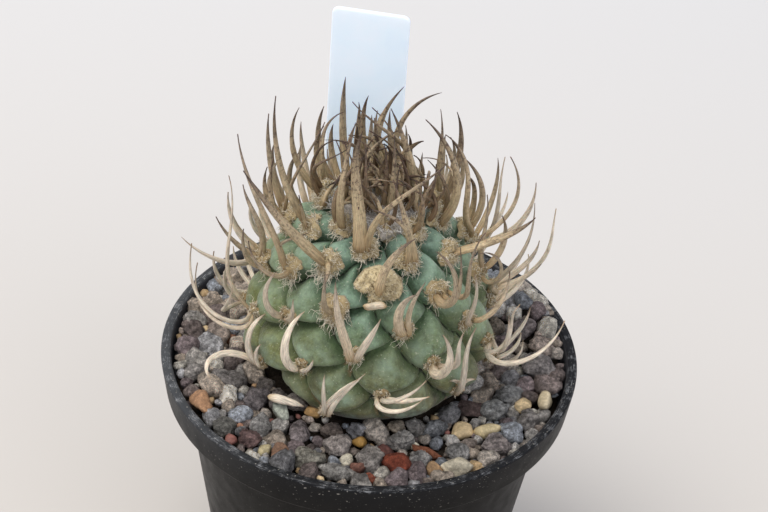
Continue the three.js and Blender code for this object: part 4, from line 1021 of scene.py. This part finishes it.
def wool_tuft(index, rng):
    """An areole's wool: a mat that is domed over the skin and lumpy, with short hairs standing out of it,
    and longer ones hanging from its edge on the younger areoles. The wad on the front areole is denser,
    with a crest at its top, two notches low in its edge, and a brown middle that is painted shade round the
    spine's foot."""
    foot, normal, up, side = AREOLES[index]
    across, along, thick = wool_size(index)
    is_wad = index == FRONT_TUBERCLE
    seed = rng.uniform(0, 6)
    youth = float(np.clip(1 - (index - 20) / 40, 0, 1))
    if index >= SCANT_WOOL_FROM:
        across, along, thick = 0.85 * across, 0.85 * along, 0.8 * thick
    over = 1.15 * thick
    if is_wad:
        dome_reach, widest, lumpy, ragged, count, long, dim = 1.3, 1.3, 0.3, 0.05, 900, 0.6, 0.7
    else:
        dome_reach, widest, lumpy, ragged, dim = 1, 1.2, 0.22, 0.1, 1
        count, long = int(140 + 250 * youth), 0.8 + 0.3 * youth

    def place(reach, angle, over):
        """A point of the mat: the skin's relief and roundness under a half-round dome of this height."""
        sideways = across * reach * np.cos(angle)
        upwards = along * reach * np.sin(angle)
        skin = np.maximum(relief_beside(index, sideways, upwards) - relief_at(index), -1.2)
        sunk = (sideways ** 2 + upwards ** 2) / (2 * STEM_RADIUS)
        dome = np.sqrt(np.clip(1 - (reach / dome_reach) ** 2, 0, 1))
        dome = dome * (1 + lumpy * lumps(sideways, upwards, seed))
        lift = 0.75 * skin - sunk + over * dome
        return foot + side * sideways[..., None] + up * upwards[..., None] + normal * lift[..., None]

    def edge(angle):
        """The mat's reach in a direction: waves, and on the wad a crest and two notches too."""
        if not is_wad:
            return 1 + 0.12 * np.sin(3 * angle + seed) + 0.07 * np.sin(7 * angle + 2 * seed)
        crest = 0.3 * np.exp(4 * (np.cos(angle - np.pi / 2) - 1))
        left, right = (np.exp(9 * (np.cos(angle - notch) - 1)) for notch in (3.75, 5.1))
        return 1.02 + crest - (0.5 * left + 0.35 * right) + 0.03 * np.sin(5 * angle + seed)

    def outwards(angle):
        """The direction over the skin away from the mat's middle."""
        return side * np.cos(angle)[:, None] + up * np.sin(angle)[:, None]

    rows, columns = 11, 24
    reach = np.linspace(1, 1 / rows, rows)[:, None]
    angle = (2 * np.pi * np.arange(columns) / columns)[None, :]
    mat = place(np.clip(reach * edge(angle), 0, widest), angle, over)
    mat += rng.normal(0, ragged, mat.shape)
    ends = [foot - 0.8 * normal, place(np.array(0.0), np.array(0.0), over)]
    mat = np.concatenate([mat.reshape(-1, 3), ends])
    # Painted shade: the wad darkens round the spine's foot, in the hollow it comes out of.
    spine_foot_shade = 0.45 * np.exp(-((np.linalg.norm(mat - mat[-1] + 0.3 * along * up, axis=1)) / 0.6) ** 2)
    # The mats are darker than the hairs on them: partly their own brown, partly painted shade under the
    # hairs.
    matted = 0.48 - spine_foot_shade if is_wad else np.full(len(mat), 0.12 + 0.22 * youth)
    surfaces = [surface(mat, barrel_faces(rows, columns), shade=matted)]

    reach = np.sqrt(rng.uniform(0, 1, count))
    angle = rng.uniform(0, 2 * np.pi, count)
    roots = place(reach * edge(angle), angle, 0.99 * over) if is_wad else place(reach, angle, 0.9 * over)
    spread = (0.4 * reach ** 2)[:, None]
    headings = normal * 0.35 + outwards(angle) * spread - 0.3 * up + rng.normal(0, 0.7, (count, 3))
    lengths = rng.uniform(0.4, 1.3, count) * long * (1 - 0.45 * reach ** 3)
    core = 0.4 * np.exp(-(reach / 0.3) ** 2)
    shades = np.clip(rng.uniform(0.25, 0.8 + 0.2 * youth, count) - core, 0, 1) * dim
    surfaces.append(strands(roots, headings, lengths, 0.06, 0.55, rng, shades, stations=4))

    hanging = int(16 * youth) * (4 if index in SHAGGY_WOOL else 1)
    if hanging:
        angle = rng.normal(-np.pi / 2, 0.9, hanging)
        roots = place(0.9 * edge(angle) if is_wad else np.full(hanging, 0.9), angle, 0.5 * over)
        headings = 0.3 * outwards(angle) - 0.6 * up + 0.35 * normal + rng.normal(0, 0.35, (hanging, 3))
        lengths = rng.uniform(1.0, 3.0, hanging) * (1.35 if index in LONG_WOOL else 1)
        surfaces.append(strands(roots, headings, lengths, 0.045, 0.55, rng, rng.uniform(0.6, 1.0, hanging),
                                sag=0.25, stations=8))
    return surfaces


def blades(paths, sides, widths, twists, bleached, tones, rng):
    """Papery horns: a keeled oval section, curled a little to its hollow side, carried along each path and
    twisted about it, with uneven edges. It grows wider over the first fifth of the length and tapers to a
    point. A young one swells at its very foot. A bleached one is slim there and stays wide for longer."""
    count, stations = paths.shape[:2]
    run = unit(np.gradient(paths, axis=1))
    side = np.zeros_like(run)
    carried = sides
    for k in range(stations):
        carried = unit(carried - dot(carried, run[:, k]) * run[:, k])
        side[:, k] = carried
    keel = np.cross(run, side)
    part = np.linspace(0, 1, stations)
    turn = (twists[:, None] * part ** 1.3)[..., None]
    side, keel = side * np.cos(turn) + keel * np.sin(turn), keel * np.cos(turn) - side * np.sin(turn)
    slim = (0.2 + 0.3 * np.clip(bleached, 0, 1))[:, None]
    swell = 1 - slim + slim * np.sin(np.pi / 2 * np.clip(part / 0.2, 0, 1))
    fullness = (1.5 + 1.4 * np.clip(bleached, 0, 1))[:, None]
    taper = swell * (1 - np.clip((part - 0.1) / 0.9, 0, 1) ** fullness) + 0.05
    uneven = 1 + 0.07 * np.cumsum(rng.normal(0, 0.5, (count, stations)), 1) / 2
    foot_swell = 1 + 0.25 * (1 - np.clip(bleached, 0, 1))[:, None] * np.exp(-(part / 0.12) ** 2)
    half = 0.5 * widths[:, None] * taper * foot_swell * np.clip(uneven, 0.8, 1.2)
    deep = np.maximum(half * SPINE_DEPTH, 0.07 + 0.05 * (1 - part))
    corners = 12
    angle = 2 * np.pi * np.arange(corners) / corners
    flat = np.cos(angle)
    raised = np.sin(angle) * (1 + 0.4 * np.exp(-(flat / 0.35) ** 2) * (np.sin(angle) > 0))
    curl = 0.12 * (flat ** 2 - 0.5)
    across = half[:, :, None] * flat
    lift = deep[:, :, None] * raised - half[:, :, None] * curl
    points = paths[:, :, None] + side[:, :, None] * across[..., None] + keel[:, :, None] * lift[..., None]
    tips = np.stack([paths[:, 0] - run[:, 0] * 0.3, paths[:, -1] + run[:, -1] * 0.1], 1)
    points = np.concatenate([points.reshape(count, -1, 3), tips], 1)
    step = np.linalg.norm(np.diff(paths, axis=1), axis=-1)
    length = np.concatenate([np.zeros((count, 1)), np.cumsum(step, 1)], 1)
    offset = rng.uniform(0, 50, (count, 1, 1))
    uv = np.stack(np.broadcast_arrays(across + offset, length[:, :, None] + offset), -1).reshape(count, -1, 2)
    uv = np.concatenate([uv, uv[:, [0, -1]]], 1)
    along = np.broadcast_to(part[None, :, None], across.shape).reshape(count, -1)
    along = np.concatenate([along, np.broadcast_to([0.0, 1.0], (count, 2))], 1)
    faces = repeated(barrel_faces(stations, corners), count, points.shape[1])
    return surface(points, faces, SPINE, uv=uv, along=along.ravel(),
                   bleached=np.repeat(bleached, points.shape[1]), own_tone=np.repeat(tones, points.shape[1]))


def spine_blades(spines, rng):
    """The blades of some of the plant's spines, rooted in the wool. They are the more bleached the older
    their areole is, those near the ground are slim, and the crown's unseen ones are dark."""
    paths = np.stack([spine_path(spine, BLADE_STEPS) for spine in spines])
    roots = np.stack([AREOLES[spine["index"]][1] for spine in spines])
    paths = paths[:, :1] + 0.985 * (paths - paths[:, :1])
    starts = paths[:, :1] - 0.5 * roots[:, None] - 0.5 * unit(paths[:, 1:2] - paths[:, :1])
    paths = np.concatenate([starts, paths], 1)
    sides = np.stack([AREOLES[spine["index"]][3] for spine in spines])
    ages = np.array([spine["index"] for spine in spines])
    widths = np.array([spine["shape"][5] for spine in spines]) * np.clip(1.05 - 0.003 * ages, 0, 1)
    widths = np.minimum(widths, np.interp(ages, [58, 59, 63, 64], [3, 1.15, 1.15, 0.8]))
    bleached = np.clip((ages - 12) / 46 + rng.uniform(-0.1, 0.1, len(spines)), 0, 1)
    twists = rng.uniform(-0.6, 0.6, len(spines))
    hidden = np.array([spine["index"] < CROWN_AREOLES and not spine["seen"] for spine in spines])
    tones = np.where(hidden, rng.uniform(0.1, 0.5, len(spines)), rng.uniform(0.35, 1.0, len(spines)))
    return blades(paths, sides, widths, twists, bleached, tones, rng)


def broken_stub(rng):
    """The foot of a broken spine, that lies level under the front areole's wad: two blades on one path,
    laid head to foot, so that both ends are blunt."""
    foot, normal, up, side = AREOLES[FRONT_TUBERCLE]
    across, along, thick = wool_size(FRONT_TUBERCLE)
    middle = foot + 0.7 * thick * normal - 0.95 * along * up - 0.15 * across * side
    part = np.linspace(-1, 1, 12)[:, None]
    path = middle + 1.5 * part * side + 0.3 * (1 - part ** 2) * normal
    return blades(np.stack([path, path[::-1]]), np.stack([normal, normal]), np.full(2, 1.15), np.zeros(2),
                  np.full(2, 0.7), np.full(2, 0.85), rng)


def make_tufts(wool_material, spine_material):
    """One piece for each older areole: its wool and its spines."""
    for index in range(CROWN_AREOLES, LAST_AREOLE + 1):
        rng = np.random.default_rng(500 + index)
        surfaces = wool_tuft(index, rng)
        own = [spine for spine in SPINES if spine["index"] == index]
        if own:
            surfaces.append(spine_blades(own, rng))
        if index == FRONT_TUBERCLE:
            surfaces.append(broken_stub(rng))
        piece(f"tuft_{index}", surfaces, [wool_material, spine_material], [f"areole_{index}"])


def crown_spines(rng):
    """Thin young spines, mostly dark, that stand round the growing point and curl in over one another. Each
    walks up from the skin, with its heading bent inwards and sideways by the same amount at every step."""
    count, steps = 52, 14
    arc = rng.uniform(1.0, 0.85 * CROWN_REACH, count)
    azimuth = np.where(arc > 3, rng.uniform(55, 305, count), rng.uniform(0, 360, count))
    outward, side = headings_at(azimuth)
    leaning = outward * rng.uniform(-0.2, 0.9, (count, 1)) + side * rng.normal(0, 0.6, (count, 1))
    heading = unit([0, 0, 1.0] + leaning)
    bend = -outward * rng.uniform(0.06, 0.22, (count, 1)) + side * rng.normal(0, 0.12, (count, 1))
    length = rng.uniform(6, 14, count)
    path = [skin_point(arc, azimuth, relief_at(index_of(arc)) + 0.6)]
    for _ in range(steps):
        path.append(path[-1] + heading * (length / steps)[:, None])
        heading = unit(heading + bend)
    return blades(np.stack(path, 1), side, rng.uniform(0.5, 1.1, count), rng.uniform(-1.5, 1.5, count),
                  rng.uniform(0.0, 0.3, count), rng.uniform(0.1, 1.1, count), rng)


def crown_mat(rng):
    """The wool over the growing point: a thin lumpy cap on the skin with a wavy edge, and hairs matted
    over it."""
    rows, columns = 12, 40
    azimuth = (360 * np.arange(columns) / columns)[None, :]
    edge = 1 + 0.1 * np.sin(np.radians(5 * azimuth)) + 0.06 * np.sin(np.radians(11 * azimuth))
    reach = CROWN_REACH * 0.7 * edge
    arc = reach * np.linspace(1, 1 / rows, rows)[:, None]
    part = arc / reach
    bulge = 1.7 * np.sqrt(1 - part ** 2) + 0.25 * lumps(arc, np.radians(azimuth) * 3, 1.0)
    cap = skin_point(arc, azimuth, relief_at(index_of(arc)) * 0.7 + bulge)
    ends = [skin_point(0.0, 0.0, -1.0), skin_point(0.0, 0.0, 2.2)]
    mat = surface(np.concatenate([cap.reshape(-1, 3), ends]), barrel_faces(rows, columns), GREY_WOOL,
                  shade=0.3)
    count = 1100
    arc = CROWN_REACH * 0.72 * np.sqrt(rng.uniform(0, 1, count))
    azimuth = rng.uniform(0, 360, count)
    part = arc / CROWN_REACH
    roots = skin_point(arc, azimuth, relief_at(index_of(arc)) * 0.7 + 1.5 * np.sqrt(1 - part ** 2))
    outward, _ = headings_at(azimuth)
    headings = [0, 0, 0.8] + outward * part[:, None] + rng.normal(0, 0.6, (count, 3))
    return [mat, strands(roots, headings, rng.uniform(0.8, 2.2, count), 0.05, 0.6, rng,
                         rng.uniform(0.3, 1.0, count), material=GREY_WOOL)]


def make_crown(wool_material, spine_material, grey_wool_material):
    """The growing point: grey wool in its hollow, and the youngest areoles with their spines round it."""
    rng = np.random.default_rng(77)
    own = [spine for spine in SPINES if spine["index"] < CROWN_AREOLES]
    surfaces = [*crown_mat(rng), spine_blades(own, rng), crown_spines(rng)]
    for index in range(FIRST_WOOLLY_AREOLE, CROWN_AREOLES):
        surfaces.extend(wool_tuft(index, rng))
    piece("crown_tuft", surfaces, [wool_material, spine_material, grey_wool_material], ["crown"])


# Gravel

# The stones that stand out at the front: place, width, depth and height, turn, colour, how water-worn
MARKED_STONES = [
    [4.9, -23.6, 4.2, 4.6, 3.4, 30, "#84402c", 0.45],
    [14.8, -15.4, 4.2, 3.2, 2.8, 5, "#cdb68f", 1.0],
    [18.5, -14.7, 4.6, 3.1, 2.8, 36, "#c4b48f", 1.0],
    [27.4, -8.2, 2.7, 5.0, 3.2, -10, "#b9ab8f", 1.0],
    [14.2, -23.7, 4.9, 3.2, 3.0, 10, "#c9c0ab", 0.8],
    [-24.6, -13.8, 3.2, 5.4, 3.0, 25, "#ac8566", 0.8],
    [-17.0, -20.8, 4.0, 4.0, 3.6, 15, "#5b3639", 0.1],
    [-14.4, -22.6, 1.9, 2.4, 2.0, 0, "#b0a482", 0.8],
    [-12.1, -22.8, 2.8, 2.8, 2.4, 20, "#8b6d5a", 0.7],
    [-12.7, -14.0, 2.6, 3.9, 2.8, 20, "#b4b9ac", 0.7],
    [-0.3, -19.6, 2.5, 2.5, 2.3, 0, "#97753f", 1.0],
    [-7.9, -14.6, 2.5, 2.2, 2.0, 0, "#ad8a5c", 0.9],
    [-4.6, -17.8, 3.8, 3.2, 2.8, 30, "#57453e", 0.0],
    [-1.0, -17.6, 3.4, 2.8, 2.6, 0, "#7b7e88", 0.0],
    [5.2, -16.4, 3.4, 2.6, 2.4, 10, "#8b7f6f", 0.1],
    [-7.8, -23.9, 5.6, 4.4, 3.4, -8, "#6c6b60", 0.0],
    [-3.7, -20.6, 4.6, 4.6, 3.6, 35, "#857c7a", 0.0],
    [-9.8, -18.4, 3.4, 4.6, 3.4, 0, "#5f545c", 0.0],
    [-15.5, -17.2, 3.2, 4.4, 3.2, 0, "#7f8082", 0.0],
    [1.3, -23.0, 5.0, 5.2, 4.0, 60, "#85807e", 0.0],
    [-3.4, -26.4, 5.6, 3.6, 3.2, 0, "#8a8987", 0.0],
    [5.6, -18.6, 4.2, 3.8, 3.2, -20, "#93918f", 0.0],
    [8.8, -22.3, 4.0, 3.8, 3.2, 40, "#8b8b8c", 0.0],
    [19.9, -18.4, 5.4, 4.4, 3.6, 40, "#84797a", 0.0],
    [14.3, -20.2, 3.6, 3.4, 3.0, 15, "#6f7174", 0.0],
    [21.7, -6.5, 5.4, 4.2, 3.6, 20, "#6c7074", 0.1],
    [26.6, -0.4, 5.8, 5.2, 4.2, -20, "#858081", 0.1],
    [23.9, 6.2, 4.6, 4.0, 3.6, 30, "#6b6164", 0.1],
    [-16.6, -11.6, 4.6, 4.4, 3.4, 10, "#5f5860", 0.0],
    [-21.3, -7.2, 5.8, 4.4, 3.4, -30, "#7a7677", 0.0],
    [-26.4, -7.2, 4.4, 3.6, 3.0, 30, "#8a8684", 0.1],
    [-20.9, -18.6, 3.8, 3.6, 3.0, 0, "#5f625f", 0.0],
    [1.4, -27.2, 2.0, 1.8, 1.6, 0, "#94503a", 0.4],
    [-0.6, -24.9, 2.4, 2.4, 2.0, 0, "#88594a", 0.3],
    [10.6, -15.4, 4.0, 3.2, 2.8, 10, "#666c74", 0.1],
    [19.8, -10.2, 4.8, 4.6, 3.4, -10, "#6f7478", 0.0],
    [24.6, -12.6, 4.2, 4.0, 3.4, 50, "#6e6a6a", 0.0],
    [9.9, -20.3, 4.8, 1.8, 1.6, -5, "#84543e", 0.6],
    [16.0, -10.2, 6.4, 2.8, 2.2, 8, "#5a4644", 0.3],
    [-13.4, -12.2, 3.6, 3.2, 3.4, 15, "#6a6160", 0.0],
    [-10.4, -13.4, 3.4, 2.8, 3.0, -20, "#7d7470", 0.0],
    [-15.6, -9.2, 3.2, 3.0, 3.2, 35, "#5a5250", 0.0],
]

# The colours of the other stones, and of the few among them that stand out
PALETTE = ["#989799", "#aeaaa6", "#87837f", "#93877f", "#736869", "#9f9387", "#b8b3aa", "#888c93", "#695f5c",
           "#978b7f", "#a9a097", "#7e7d7f"]
RARE_PALETTE = ["#b9a583", "#866350", "#6d4a44", "#a58d6c", "#c2bba9", "#8d7357"]


def stone_places(rng):
    """Places for the stones, thrown one by one, large ones first, and kept where there is room between the
    plant, the spines, the label and the pot's wall. Each row gives a range of radii, how many throws and
    stones at most, and how close they may crowd."""
    spine_points = np.concatenate([spine["fine"] for spine in SPINES])
    kept = np.array([[x, y, 0.25 * (wide + deep)] for x, y, wide, deep, *_ in MARKED_STONES])
    first = len(kept)
    for radius_range, tries, count, crowding in (((1.5, 2.1), 9000, 120, 0.82), ((1.0, 1.5), 14000, 240, 0.8),
                                                 ((0.5, 1.0), 20000, 420, 0.76)):
        added = 0
        for _ in range(tries):
            if added == count:
                break
            radius = rng.uniform(*radius_range)
            angle = rng.uniform(0, 2 * math.pi)
            distance = math.sqrt(rng.uniform(STONES_FROM ** 2, (STONES_TO - radius) ** 2))
            x, y = distance * math.sin(angle), distance * math.cos(angle)
            if (np.hypot(kept[:, 0] - x, kept[:, 1] - y) < crowding * (kept[:, 2] + radius)).any():
                continue
            centre = np.array([x, y, ground_z(x, y) + stone_lift(x, y) + 0.3 * radius])
            if off_skin(centre) < 0.6 * TUBERCLE_HEIGHT + 0.6 * radius or off_label(centre) < 0.8 * radius:
                continue
            if (np.linalg.norm(spine_points - centre, axis=1) < 0.95 * radius).any():
                continue
            kept = np.vstack([kept, [x, y, radius]])
            added += 1
    return kept[first:]


def stones(centres, sizes, turns, colours, worn, rng, rows, columns):
    """Crushed stones: from the middle, the reach in a direction is one over the norm of how far that
    direction lies along ten cutting planes, which are spread over all directions and moved a little. A high
    power gives sharp facets, a low one a pebble. Waves and small pits roughen the facets."""
    count = len(centres)
    polar = np.pi * (np.arange(rows) + 0.5) / rows
    around = 2 * np.pi * np.arange(columns) / columns
    ring = np.stack(np.broadcast_arrays(np.sin(polar)[:, None] * np.cos(around),
                                        np.sin(polar)[:, None] * np.sin(around),
                                        np.cos(polar)[:, None]), -1).reshape(-1, 3)
    directions = np.concatenate([ring, [[0, 0, 1], [0, 0, -1]]])
    planes = 10
    k = np.arange(planes) + 0.5
    spread = np.stack([np.sqrt(1 - (1 - 2 * k / planes) ** 2) * np.cos(2.4 * k),
                       np.sqrt(1 - (1 - 2 * k / planes) ** 2) * np.sin(2.4 * k), 1 - 2 * k / planes], -1)
    normals = unit(spread[None] + rng.normal(0, 0.35, (count, planes, 3)))
    offsets = rng.uniform(0.66, 1.02, (count, planes))
    pull = np.clip(np.einsum("pk,nck->npc", directions, normals), 0, None) / offsets[:, None]
    power = (4 + 26 * (1 - worn))[:, None]
    gauge = ((pull ** power[..., None]).sum(-1)) ** (1 / power)
    waves = np.sin(np.einsum("pk,njk->npj", directions, rng.normal(0, 5.5, (count, 5, 3)))
                   + rng.uniform(0, 6.28, (count, 1, 5))).mean(-1)
    rough = 1 + (rng.normal(0, 0.055, gauge.shape) + 0.16 * waves) * (1 - 0.9 * worn)[:, None]
    reach = np.clip(rough / gauge, 0.6, 1.2)
    points = directions[None] * reach[..., None] * sizes[:, None]
    tilt = rng.uniform(-0.35, 0.35, (count, 2)) * (1 - 0.6 * (worn > 0.6))[:, None]
    x, y, z = points[..., 0], points[..., 1], points[..., 2]
    z, x = z + x * tilt[:, :1], x - z * tilt[:, :1]
    z, y = z + y * tilt[:, 1:], y - z * tilt[:, 1:]
    cosine, sine = np.cos(turns)[:, None], np.sin(turns)[:, None]
    points = np.stack([x * cosine - y * sine, x * sine + y * cosine, z], -1) + centres[:, None]
    each = points.shape[1]
    faces = repeated(barrel_faces(rows, columns), count, each)
    return surface(points, faces, stone_colour=np.repeat(colours, each, 0), water_worn=np.repeat(worn, each))


def settled(colours, worn):
    """Rough stones under a film of pale grey dust, which takes some of their colour away and makes them
    lighter."""
    dust = np.array(linear("#8a847d"))
    share = 0.4 * (1 - np.clip(2 * worn, 0, 1))[:, None]
    return (colours * (1 - share) + dust * share) * np.where(worn < 0.3, 1.5, 1)[:, None]


def stone_lift(x, y):
    """How much higher the stones lie against the pot's wall and under the front of the plant."""
    distance = np.hypot(x, y)
    at_wall = 1.7 * np.clip((distance - 22) / 6, 0, 1) * (1 - 0.6 * np.clip((-y - 8) / 10, 0, 1))
    towards_left = np.clip(-x / 12, 0, 1)
    under_plant = (0.7 + 0.9 * towards_left) * np.clip((20 - distance) / 3, 0, 1)
    return at_wall + under_plant


def make_gravel(stone_material, mix_material):
    """The filling of the pot: the potting mix with its top heaped a little, and the stones lying on it. The
    stones at both sides are painted paler, as painted light, and a small stone's mesh is coarser."""
    rng = np.random.default_rng(31)
    x, y, wide, deep, high, turn = (np.array([row[k] for row in MARKED_STONES], float) for k in range(6))
    worn = np.array([row[7] for row in MARKED_STONES])
    colours = settled(np.array([linear(row[6]) for row in MARKED_STONES]), worn)
    wide, deep, high = (np.where(worn < 0.3, 0.88, 1) * size for size in (wide, deep, high))
    centres = np.stack([x, y, ground_z(x, y) + stone_lift(x, y) + 0.28 * high], -1)
    surfaces = [stones(centres, np.stack([wide, deep, high], -1) / 2, np.radians(turn), colours, worn, rng,
                       18, 28)]
    x, y, radius = stone_places(rng).T
    count = len(radius)
    grey, rare = (np.array([linear(code) for code in codes])[rng.integers(0, len(codes), count)]
                  for codes in (PALETTE, RARE_PALETTE))
    is_rare = (rng.uniform(0, 1, count) < 0.1) & (radius < 1.5)
    colours = np.where(is_rare[:, None], rare, grey) * rng.uniform(0.8, 1.2, (count, 1))
    # Painted light: stones more than 12 mm to either side are made paler; the 1.2 lightens them all.
    colours *= 1.2 + 0.06 * np.clip(np.abs(x[:, None]) - 12, 0, 8)
    worn = np.where(is_rare, rng.uniform(0.5, 1, count), rng.uniform(0, 0.15, count))
    sizes = radius[:, None] * rng.uniform([1.0, 0.85, 0.7], [1.25, 1.1, 0.95], (count, 3))
    z = ground_z(x, y) + stone_lift(x, y) + 0.3 * radius + rng.uniform(-0.2, 0.3, count)
    centres = np.stack([x, y, z], -1)
    turns = rng.uniform(0, 2 * np.pi, count)
    for least, most, rows, columns in ((1.55, 9, 13, 18), (1.05, 1.55, 8, 11), (0, 1.05, 5, 7)):
        chosen = (radius >= least) & (radius < most)
        surfaces.append(stones(centres[chosen], sizes[chosen], turns[chosen], colours[chosen], worn[chosen],
                               rng, rows, columns))
    piece("gravel_bed", [*surfaces, mix_body()], [stone_material, mix_material], ["grit_bed"])


def mix_body():
    """The potting mix: the pot's inside, a gap smaller, turned round its axis, under the ground's surface."""
    sides = 96
    inner_collar = COLLAR_FOOT_RADIUS - POT_WALL - 1.5 * GAP
    shoulder_z = POT_HEIGHT - COLLAR_HEIGHT + POT_WALL + GAP
    radii = np.concatenate([np.linspace(0.5, inner_collar, 26), [
        inner_collar, SHOULDER_RADIUS - POT_WALL - GAP, FOOT_RADIUS - POT_WALL - GAP]])
    angle = 2 * np.pi * np.arange(sides) / sides
    x, y = radii[:, None] * np.sin(angle), -radii[:, None] * np.cos(angle)
    z = ground_z(x, y) - 0.5 + 0.12 * np.sin(3.1 * x) * np.sin(2.9 * y)
    z[-3:] = np.array([shoulder_z, shoulder_z, FLOOR_THICKNESS + GAP])[:, None]
    ends = [[0, 0, ground_z(0.0, 0.0) - 0.5], [0, 0, FLOOR_THICKNESS + GAP]]
    points = np.concatenate([np.stack([x, y, z], -1).reshape(-1, 3), ends])
    return surface(points, barrel_faces(len(radii), sides), material=1)


def make_fallen_spine(spine_material, wool_material):
    """A bleached spine that has dropped on the gravel, almost straight."""
    rng = np.random.default_rng(9)
    part = np.linspace(0, 1, 20)[:, None]
    start, end = np.array([-14.6, -14.1, 52.9]), np.array([-9.2, -15.2, 52.4])
    path = start + (end - start) * part + np.array([0, 0, 0.5]) * (part * (1 - part))
    blade = blades(path[None], np.array([[0.3, 0.9, 0.0]]), np.array([1.5]), np.array([0.2]), np.array([1.0]),
                   np.array([1.0]), rng)
    piece("fallen_spine", [blade], [wool_material, spine_material])


# Label

def make_label(material):
    """A flat strip with rounded upper corners and a point: its outline set out on both sides and joined,
    with a fine bevel round it."""
    half, deep = LABEL_WIDTH / 2, LABEL_THICKNESS / 2
    foot, foot_half, corner_radius, bevel = LABEL_TOP_Z - LABEL_LENGTH, 1.0, 1, 0.1
    sweep = np.radians(np.linspace(0, 90, 7))
    corner = np.stack([half - corner_radius + np.cos(sweep), LABEL_TOP_Z - corner_radius + np.sin(sweep)], -1)
    side = np.stack([np.full(12, half), np.linspace(foot + LABEL_POINT, LABEL_TOP_Z - 1.2, 12)], -1)
    right = np.concatenate([[[foot_half, foot]], side, corner])
    outline = np.concatenate([right, (right * [-1, 1])[::-1]])
    centre = np.array([0, (foot + LABEL_TOP_Z) / 2])
    inset = centre + (outline - centre) * (1 - bevel / np.array([half, LABEL_LENGTH / 2]))
    layers = [(inset, -deep), (outline, bevel - deep), (outline, deep - bevel), (inset, deep)]
    count = len(outline)
    x, z = np.concatenate([ring for ring, _ in layers]).T
    y = np.repeat([through for _, through in layers], count)
    turn = math.radians(LABEL_TURN)
    points = np.stack([LABEL_X + x * math.cos(turn) - y * math.sin(turn),
                       LABEL_Y + x * math.sin(turn) + y * math.cos(turn), z], -1)
    faces = [grid_faces(4, count), strip_faces(count), strip_faces(count)[:, ::-1] + 3 * count]
    piece("label_strip", [surface(points, faces, smooth=False)], [material], ["label"])


def strip_faces(count):
    """A flat cap on a ring that is the same on its left as on its right: quads from side to side."""
    k = np.arange(count // 2 - 1)
    return np.stack([k, count - 1 - k, count - 2 - k, k + 1], -1)


# Floor and light

def make_floor():
    """A plain pale floor, painted darker and warmer towards the front as painted shade, and cooler at the
    back.
    """
    material, tree, shader, place = begun("pale_matt_floor", {"Roughness": 0.9, "Specular IOR Level": 0.1})
    depth = node(tree, "SeparateXYZ", {0: place}, "Y")
    backwards = node(tree, "MapRange", {"Value": depth, "From Min": -60 * MM, "From Max": 220 * MM})
    # Painted shade: the floor is darker and warmer towards the front.
    stops = [(0.0, "#c7c1ba"), (1.0, "#d4d4d5")]
    fill(tree, shader, {"Base Color": node(tree, "ValToRGB", {"Fac": backwards}, stops=stops)})
    mesh = bpy.data.meshes.new("floor")
    half = 3.0
    corners = [(-half, -half, 0), (half, -half, 0), (half, half, 0), (-half, half, 0)]
    mesh.from_pydata(corners, [], [(0, 1, 2, 3)])
    mesh.materials.append(material)
    floor = bpy.data.objects.new("floor", mesh)
    bpy.context.scene.collection.objects.link(floor)


def make_light(name, place, size, power, colour):
    """A square soft light that shines at the plant."""
    light = bpy.data.lights.new(name, "AREA")
    light.size = size
    light.energy = power
    light.color = linear(colour)[:3]
    plant = [0, 0, 0.06]
    away = unit(np.array(place) - plant)
    right = unit(np.cross([0, 0, 1], away))
    set_up(name, light, right, np.cross(away, right), away, place)


def make_sky(strength, colour):
    """An even light from all round."""
    world = bpy.data.worlds.new("studio")
    world.use_nodes = True
    sky = world.node_tree.nodes["Background"]
    fill(world.node_tree, sky, {"Color": linear(colour), "Strength": strength})
    bpy.context.scene.world = world


make_floor()
make_sky(0.66, "#f6f8ff")
make_light("window", (-0.4, -0.1, 1.05), 0.8, 10.0, "#fffaf2")
make_light("fill", (0.6, -0.8, 0.75), 0.9, 4.0, "#f5f8ff")
bpy.context.scene.view_settings.view_transform = "Standard"

spine_finish = papery_spine()
areole_wool = wool("areole_wool_tan", "#6b553a", "#9f8a66", "#d0c09b", "#f4ecda")
crown_wool = wool("crown_wool_grey", "#4a3b33", "#8d847c", "#cbc6c0", "#efeeec")
make_pot(pot_plastic())
make_gravel(crushed_stone(), potting_mix())
make_stem(waxy_skin())
make_crown(areole_wool, spine_finish, crown_wool)
make_tufts(areole_wool, spine_finish)
make_fallen_spine(spine_finish, areole_wool)
make_label(label_plastic())
